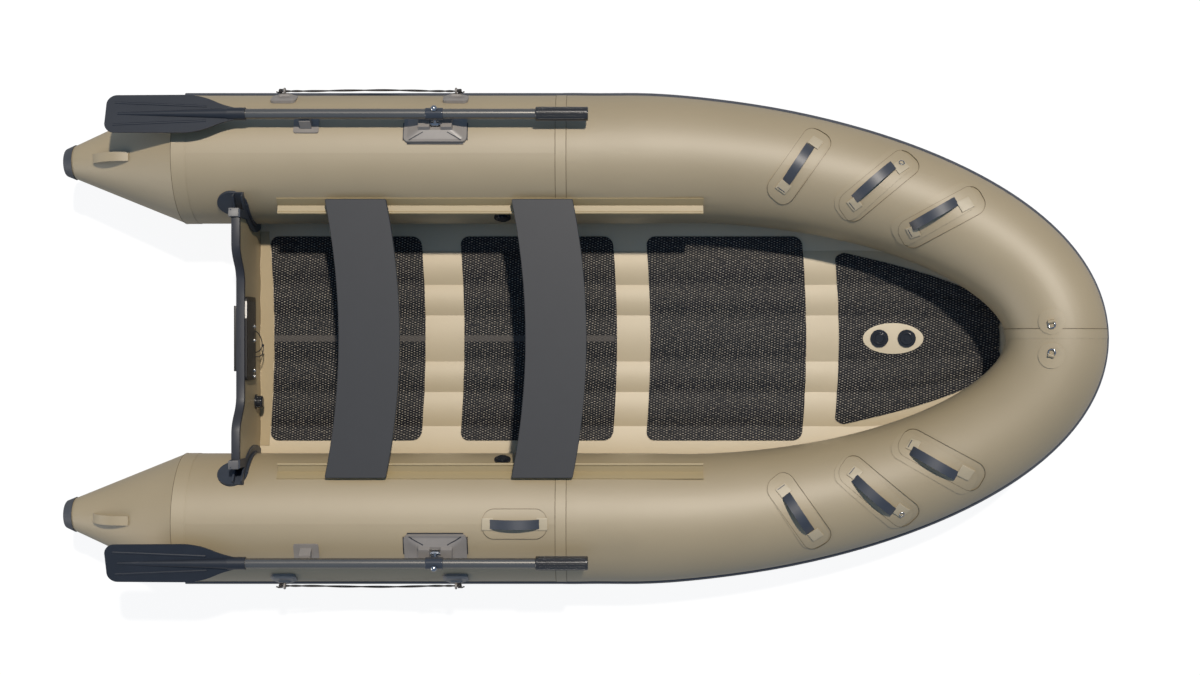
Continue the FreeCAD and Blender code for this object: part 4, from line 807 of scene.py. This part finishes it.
# Bench rails. Extruded strips of vinyl, a shade darker than the tubes, are bonded along each tube.
# A round bead stands up on a thin flap, and the bench shoes wrap it.
rail_vinyl = coated_cloth("extruded rail vinyl", "#9c895f", "#907e55")
dress(rail_vinyl, "bench_rail_port", "bench_rail_starboard")


# Benches. Two flat planks of birch plywood, faced with smooth grey film and edged with the same.
# Black nylon channels are screwed under both ends and slide on the rails.
bench_film = moulded("grey bench film", "#303133", "#2d2e30", 0.45, grain=0.0022, strength=0.05)
dress(bench_film, "bench_aft", "bench_fore")
shoe_nylon = moulded("shoe nylon", "#2a2c31", "#1d1f23", 0.45)
dress(shoe_nylon, "bench_aft_shoes", "bench_fore_shoes")


# Rowlocks, clips and rope eyes. Mouldings of glass filled nylon, grey with a slightly dusty sheen.
# Dark strips of painted shade run round each rowlock's edges on the tube and up each hip. The
# pins are bright stainless steel.
pad_start, pad_round = 0.004, 0.0008


def lay_on_tube(name, tube, foot, other_foot, size, out, lift, thickness, finish):
    """A small pad bonded on a tube or fitting, this far out past a foot, in line with both feet."""
    point, normal = drop_on(tube, *foot)
    away = Vector((foot[0] - other_foot[0], foot[1] - other_foot[1], 0.0))
    away -= normal * away.dot(normal)
    away.normalize()
    turn = Matrix((away, normal.cross(away), normal)).transposed().to_euler()
    bpy.ops.object.select_all(action="DESELECT")
    bpy.ops.mesh.primitive_grid_add(x_subdivisions=12, y_subdivisions=10, size=1.0, rotation=turn,
                                    location=point + away * out + normal * pad_start)
    pad = bpy.context.object
    give_size(pad, (*size, 1.0))
    apply_modifier(pad, "SHRINKWRAP", target=tube, wrap_method="NEAREST_SURFACEPOINT", offset=lift)
    apply_modifier(pad, "SOLIDIFY", thickness=thickness, offset=1.0)
    apply_modifier(pad, "BEVEL", width=min(pad_round, thickness / 3), segments=2)
    return settle(pad, name, "hull", finish, 40)


fitting_nylon = moulded("fitting nylon", "#8a847e", "#7c7771", 0.42, Specular_IOR_Level=0.7)
dress(fitting_nylon, "rowlock_base_port", "rowlock_base_starboard", "oar_clip_port",
      "oar_clip_starboard", "rope_holders_port", "rope_holders_starboard")
# Painted shade: near-black strips along the rowlock's edges and hips, where shade falls.
shade_strip_finish = moulded("painted shade strip", "#23272f", "#191c23", 0.5)
rowlock_x, flange_half_length = -0.490, 0.107
flange_inboard_y, flange_hidden_y = 0.6639, 0.742
hip_corner, hip_block = (0.0889, 0.6729), (0.0425, 0.7047)
hip_shade_width, hip_shade_lift, hip_shade_thickness = 0.0035, 0.0003, 0.0010
edge_shade_width, edge_shade_lift, edge_shade_thickness = 0.0035, 0.0004, 0.0030
edge_shade_corner, edge_shade_ends = 0.010, 0.022
for side, name in both_sides:
    base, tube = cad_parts["rowlock_base_" + name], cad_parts["aft_tube_" + name]
    for label, end in (("aft", -1), ("fore", 1)):
        corner = (rowlock_x + end * hip_corner[0], side * hip_corner[1])
        block = (rowlock_x + end * hip_block[0], side * hip_block[1])
        length = (Vector(block) - Vector(corner)).length
        lay_on_tube("rowlock_hip_shade_" + label + "_" + name, base, corner, block,
                    (length, hip_shade_width), -length / 2, hip_shade_lift, hip_shade_thickness,
                    shade_strip_finish)
        edge_x = rowlock_x + end * (flange_half_length + edge_shade_width / 2)
        length = flange_hidden_y - flange_inboard_y - edge_shade_corner
        lay_on_tube("rowlock_edge_shade_" + label + "_" + name, tube,
                    (edge_x, side * (flange_inboard_y + edge_shade_corner)),
                    (edge_x, side * flange_hidden_y), (length, edge_shade_width), -length / 2,
                    edge_shade_lift, edge_shade_thickness, shade_strip_finish)
    length = 2 * flange_half_length - edge_shade_ends
    edge_y = side * (flange_inboard_y - edge_shade_width / 2)
    lay_on_tube("rowlock_edge_shade_inboard_" + name, tube, (rowlock_x - length / 2, edge_y),
                (rowlock_x + length / 2, edge_y), (length, edge_shade_width), -length / 2,
                edge_shade_lift, edge_shade_thickness, shade_strip_finish)
pin_steel = turned_steel("stainless pin steel", "#b4b5b7", "#8e9196", 0.24, 0.00143)
dress(pin_steel, "rowlock_swivel_port", "rowlock_swivel_starboard", "bow_rings")


# Oars. Alloy tube with a dark anodised skin, a moulded blade with a spine and two ribs, a nylon
# collar at the rowlock and a ribbed rubber grip.
draw_length, draw_width = 0.333, 0.002

# The tube is drawn through a die, so fine lines run along it and its light is one long streak.
shaft_alloy, shader = start_material("anodised oar alloy", Metallic=0.75)
place = (add_node(shaft_alloy, "TexCoord"), "Object")
draw_lines = add_node(shaft_alloy, "Mapping", {"Vector": place, "Scale": (
    1 / draw_length, 1 / draw_width, 1 / draw_width)})
drawn = add_node(shaft_alloy, "TexNoise", {"Vector": (draw_lines, "Vector"), "Scale": 1.0})
add_node(shaft_alloy, "Mix", {0: (drawn, "Fac"), 6: linear("#6c6965"), 7: linear("#827f79")},
         data_type="RGBA", to=(shader, "Base Color", 2))
add_node(shaft_alloy, "MapRange", {0: (drawn, "Fac"), 3: 0.21, 4: 0.28},
         to=(shader, "Roughness", "Result"))
dress(shaft_alloy, "oar_shaft_port", "oar_shaft_starboard")

# The blade is matte, and the collar and the grip are smooth enough to carry the streak on.
blade_plastic = moulded("blade polypropylene", "#242830", "#1c2027", 0.42)
dress(blade_plastic, "oar_blade_port", "oar_blade_starboard")
collar_nylon = moulded("collar nylon", "#34383f", "#292c33", 0.20, Specular_IOR_Level=0.9)
dress(collar_nylon, "oar_collar_port", "oar_collar_starboard")
grip_rubber = moulded("grip rubber", "#2b2825", "#1e1c1a", 0.20, strength=0.20,
                      Specular_IOR_Level=0.9)
dress(grip_rubber, "oar_grip_port", "oar_grip_starboard")


# Carry handles. Dark vinyl coated webbing arches over a round-cornered cloth patch. Each end of it
# runs under a paler square of cloth, and its inner cut end shows dark at the square's far edge. A
# small steel ring stands on the middle patch of each bow.
tab_cloth = coated_cloth("handle tab cloth", "#ab9d80", "#a09274")
webbing = moulded("coated webbing", "#323741", "#262a32", 0.5, Specular_IOR_Level=0.9)
dress(tape_cloth, "bow_handle_patches_port", "bow_handle_patches_starboard", "side_handle_patch",
      "bow_ring_patches", "cone_handles")
dress(webbing, "bow_handle_straps_port", "bow_handle_straps_starboard", "side_handle_strap")


def edge_line(name, tube, foot, other_foot, overhang):
    """The fine dark line of squeezed out vinyl round a handle's patch."""
    (start, start_normal), (end, end_normal) = drop_on(tube, *foot), drop_on(tube, *other_foot)
    along = end - start
    reach = along.length + 2 * overhang + 2 * line_width
    along.normalize()
    side = (start_normal + end_normal).cross(along)
    side.normalize()
    out = along.cross(side)
    bpy.ops.object.select_all(action="DESELECT")
    bpy.ops.mesh.primitive_plane_add(size=1.0, location=(start + end) / 2 + out * line_start,
                                     rotation=Matrix((along, side, out)).transposed().to_euler())
    line = bpy.context.object
    give_size(line, (reach, patch_width + 2 * line_width, 1.0))
    bpy.ops.object.mode_set(mode="EDIT")
    bpy.ops.mesh.select_all(action="SELECT")
    bpy.ops.mesh.bevel(offset=patch_corner, segments=9, affect="VERTICES")
    bpy.ops.mesh.inset(thickness=line_width)
    bpy.ops.mesh.delete(type="FACE")
    shape = bmesh.from_edit_mesh(line.data)
    for edge in shape.edges:
        edge.select_set(edge.calc_length() > longest_round)
    bmesh.update_edit_mesh(line.data)
    bpy.ops.mesh.subdivide(number_cuts=16)
    bpy.ops.object.mode_set(mode="OBJECT")
    apply_modifier(line, "SHRINKWRAP", target=tube, wrap_method="PROJECT", use_project_z=True,
                   use_negative_direction=True, use_positive_direction=False, offset=line_lift)
    apply_modifier(line, "SOLIDIFY", thickness=line_height, offset=1.0)
    return settle(line, name, "hull", bead_vinyl, 40)


# Feet are (x, y) of each strap's outer and inner end. Tabs are (length, how far out past the foot).
strap_feet = [((0.797, 0.657), (0.708, 0.533)), ((1.093, 0.584), (0.956, 0.472)),
              ((1.305, 0.452), (1.158, 0.372))]
outer_tabs = [(0.038, 0.018), (0.048, 0.004), (0.048, 0.004)]
inner_tabs = [(0.038, 0.019), (0.038, 0.020), (0.038, 0.021)]
tab_width, tab_lift, tab_thickness = 0.042, 0.0024, 0.0040
slit_size, slit_inset, slit_depth, slit_thickness = (0.003, 0.031), 0.007, 0.0006, 0.0012
patch_width, patch_corner, bow_overhang, side_overhang = 0.101, 0.040, 0.067, 0.026
line_width, line_height, line_lift, line_start = 0.0010, 0.0026, 0.0006, 0.10
longest_round = 0.015
side_tab_length, side_tab_out = 0.038, 0.0095
ring_x, ring_y, ring_radius, ring_wire = 1.1000, 0.5965, 0.0085, 0.0016
for side, name in both_sides:
    tube = bow_skins[name]
    for k, (outer, inner) in enumerate(strap_feet):
        number = str(k + 1) + "_" + name
        outer, inner = (outer[0], side * outer[1]), (inner[0], side * inner[1])
        for label, foot, other, (length, out) in (("outer", outer, inner, outer_tabs[k]),
                                                  ("inner", inner, outer, inner_tabs[k])):
            lay_on_tube("handle_tab_" + label + "_" + number, tube, foot, other,
                        (length, tab_width), out, tab_lift, tab_thickness,
                        tab_cloth)
        lay_on_tube("handle_slit_" + number, tube, inner, outer, slit_size,
                    inner_tabs[k][1] + inner_tabs[k][0] / 2 - slit_inset,
                    tab_lift + tab_thickness - slit_depth, slit_thickness, webbing)
        edge_line("handle_patch_line_" + number, tube, inner, outer, bow_overhang)
    point, normal = drop_on(tube, ring_x, side * ring_y)
    bpy.ops.object.select_all(action="DESELECT")
    bpy.ops.mesh.primitive_torus_add(
        major_segments=40, minor_segments=10, major_radius=ring_radius, minor_radius=ring_wire,
        location=point + normal * ring_radius, rotation=normal.to_track_quat("Z", "Y").to_euler())
    settle(bpy.context.object, "handle_ring_" + name, "hull", pin_steel, 60)
side_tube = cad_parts["aft_tube_starboard"]
aft_foot, fore_foot = (-0.303, -tube_centre_y), (-0.137, -tube_centre_y)
for label, foot, other in (("aft", aft_foot, fore_foot), ("fore", fore_foot, aft_foot)):
    lay_on_tube("side_handle_tab_" + label, side_tube, foot, other, (side_tab_length, tab_width),
                side_tab_out, tab_lift, tab_thickness, tab_cloth)
edge_line("side_handle_patch_line", side_tube, aft_foot, fore_foot, side_overhang)
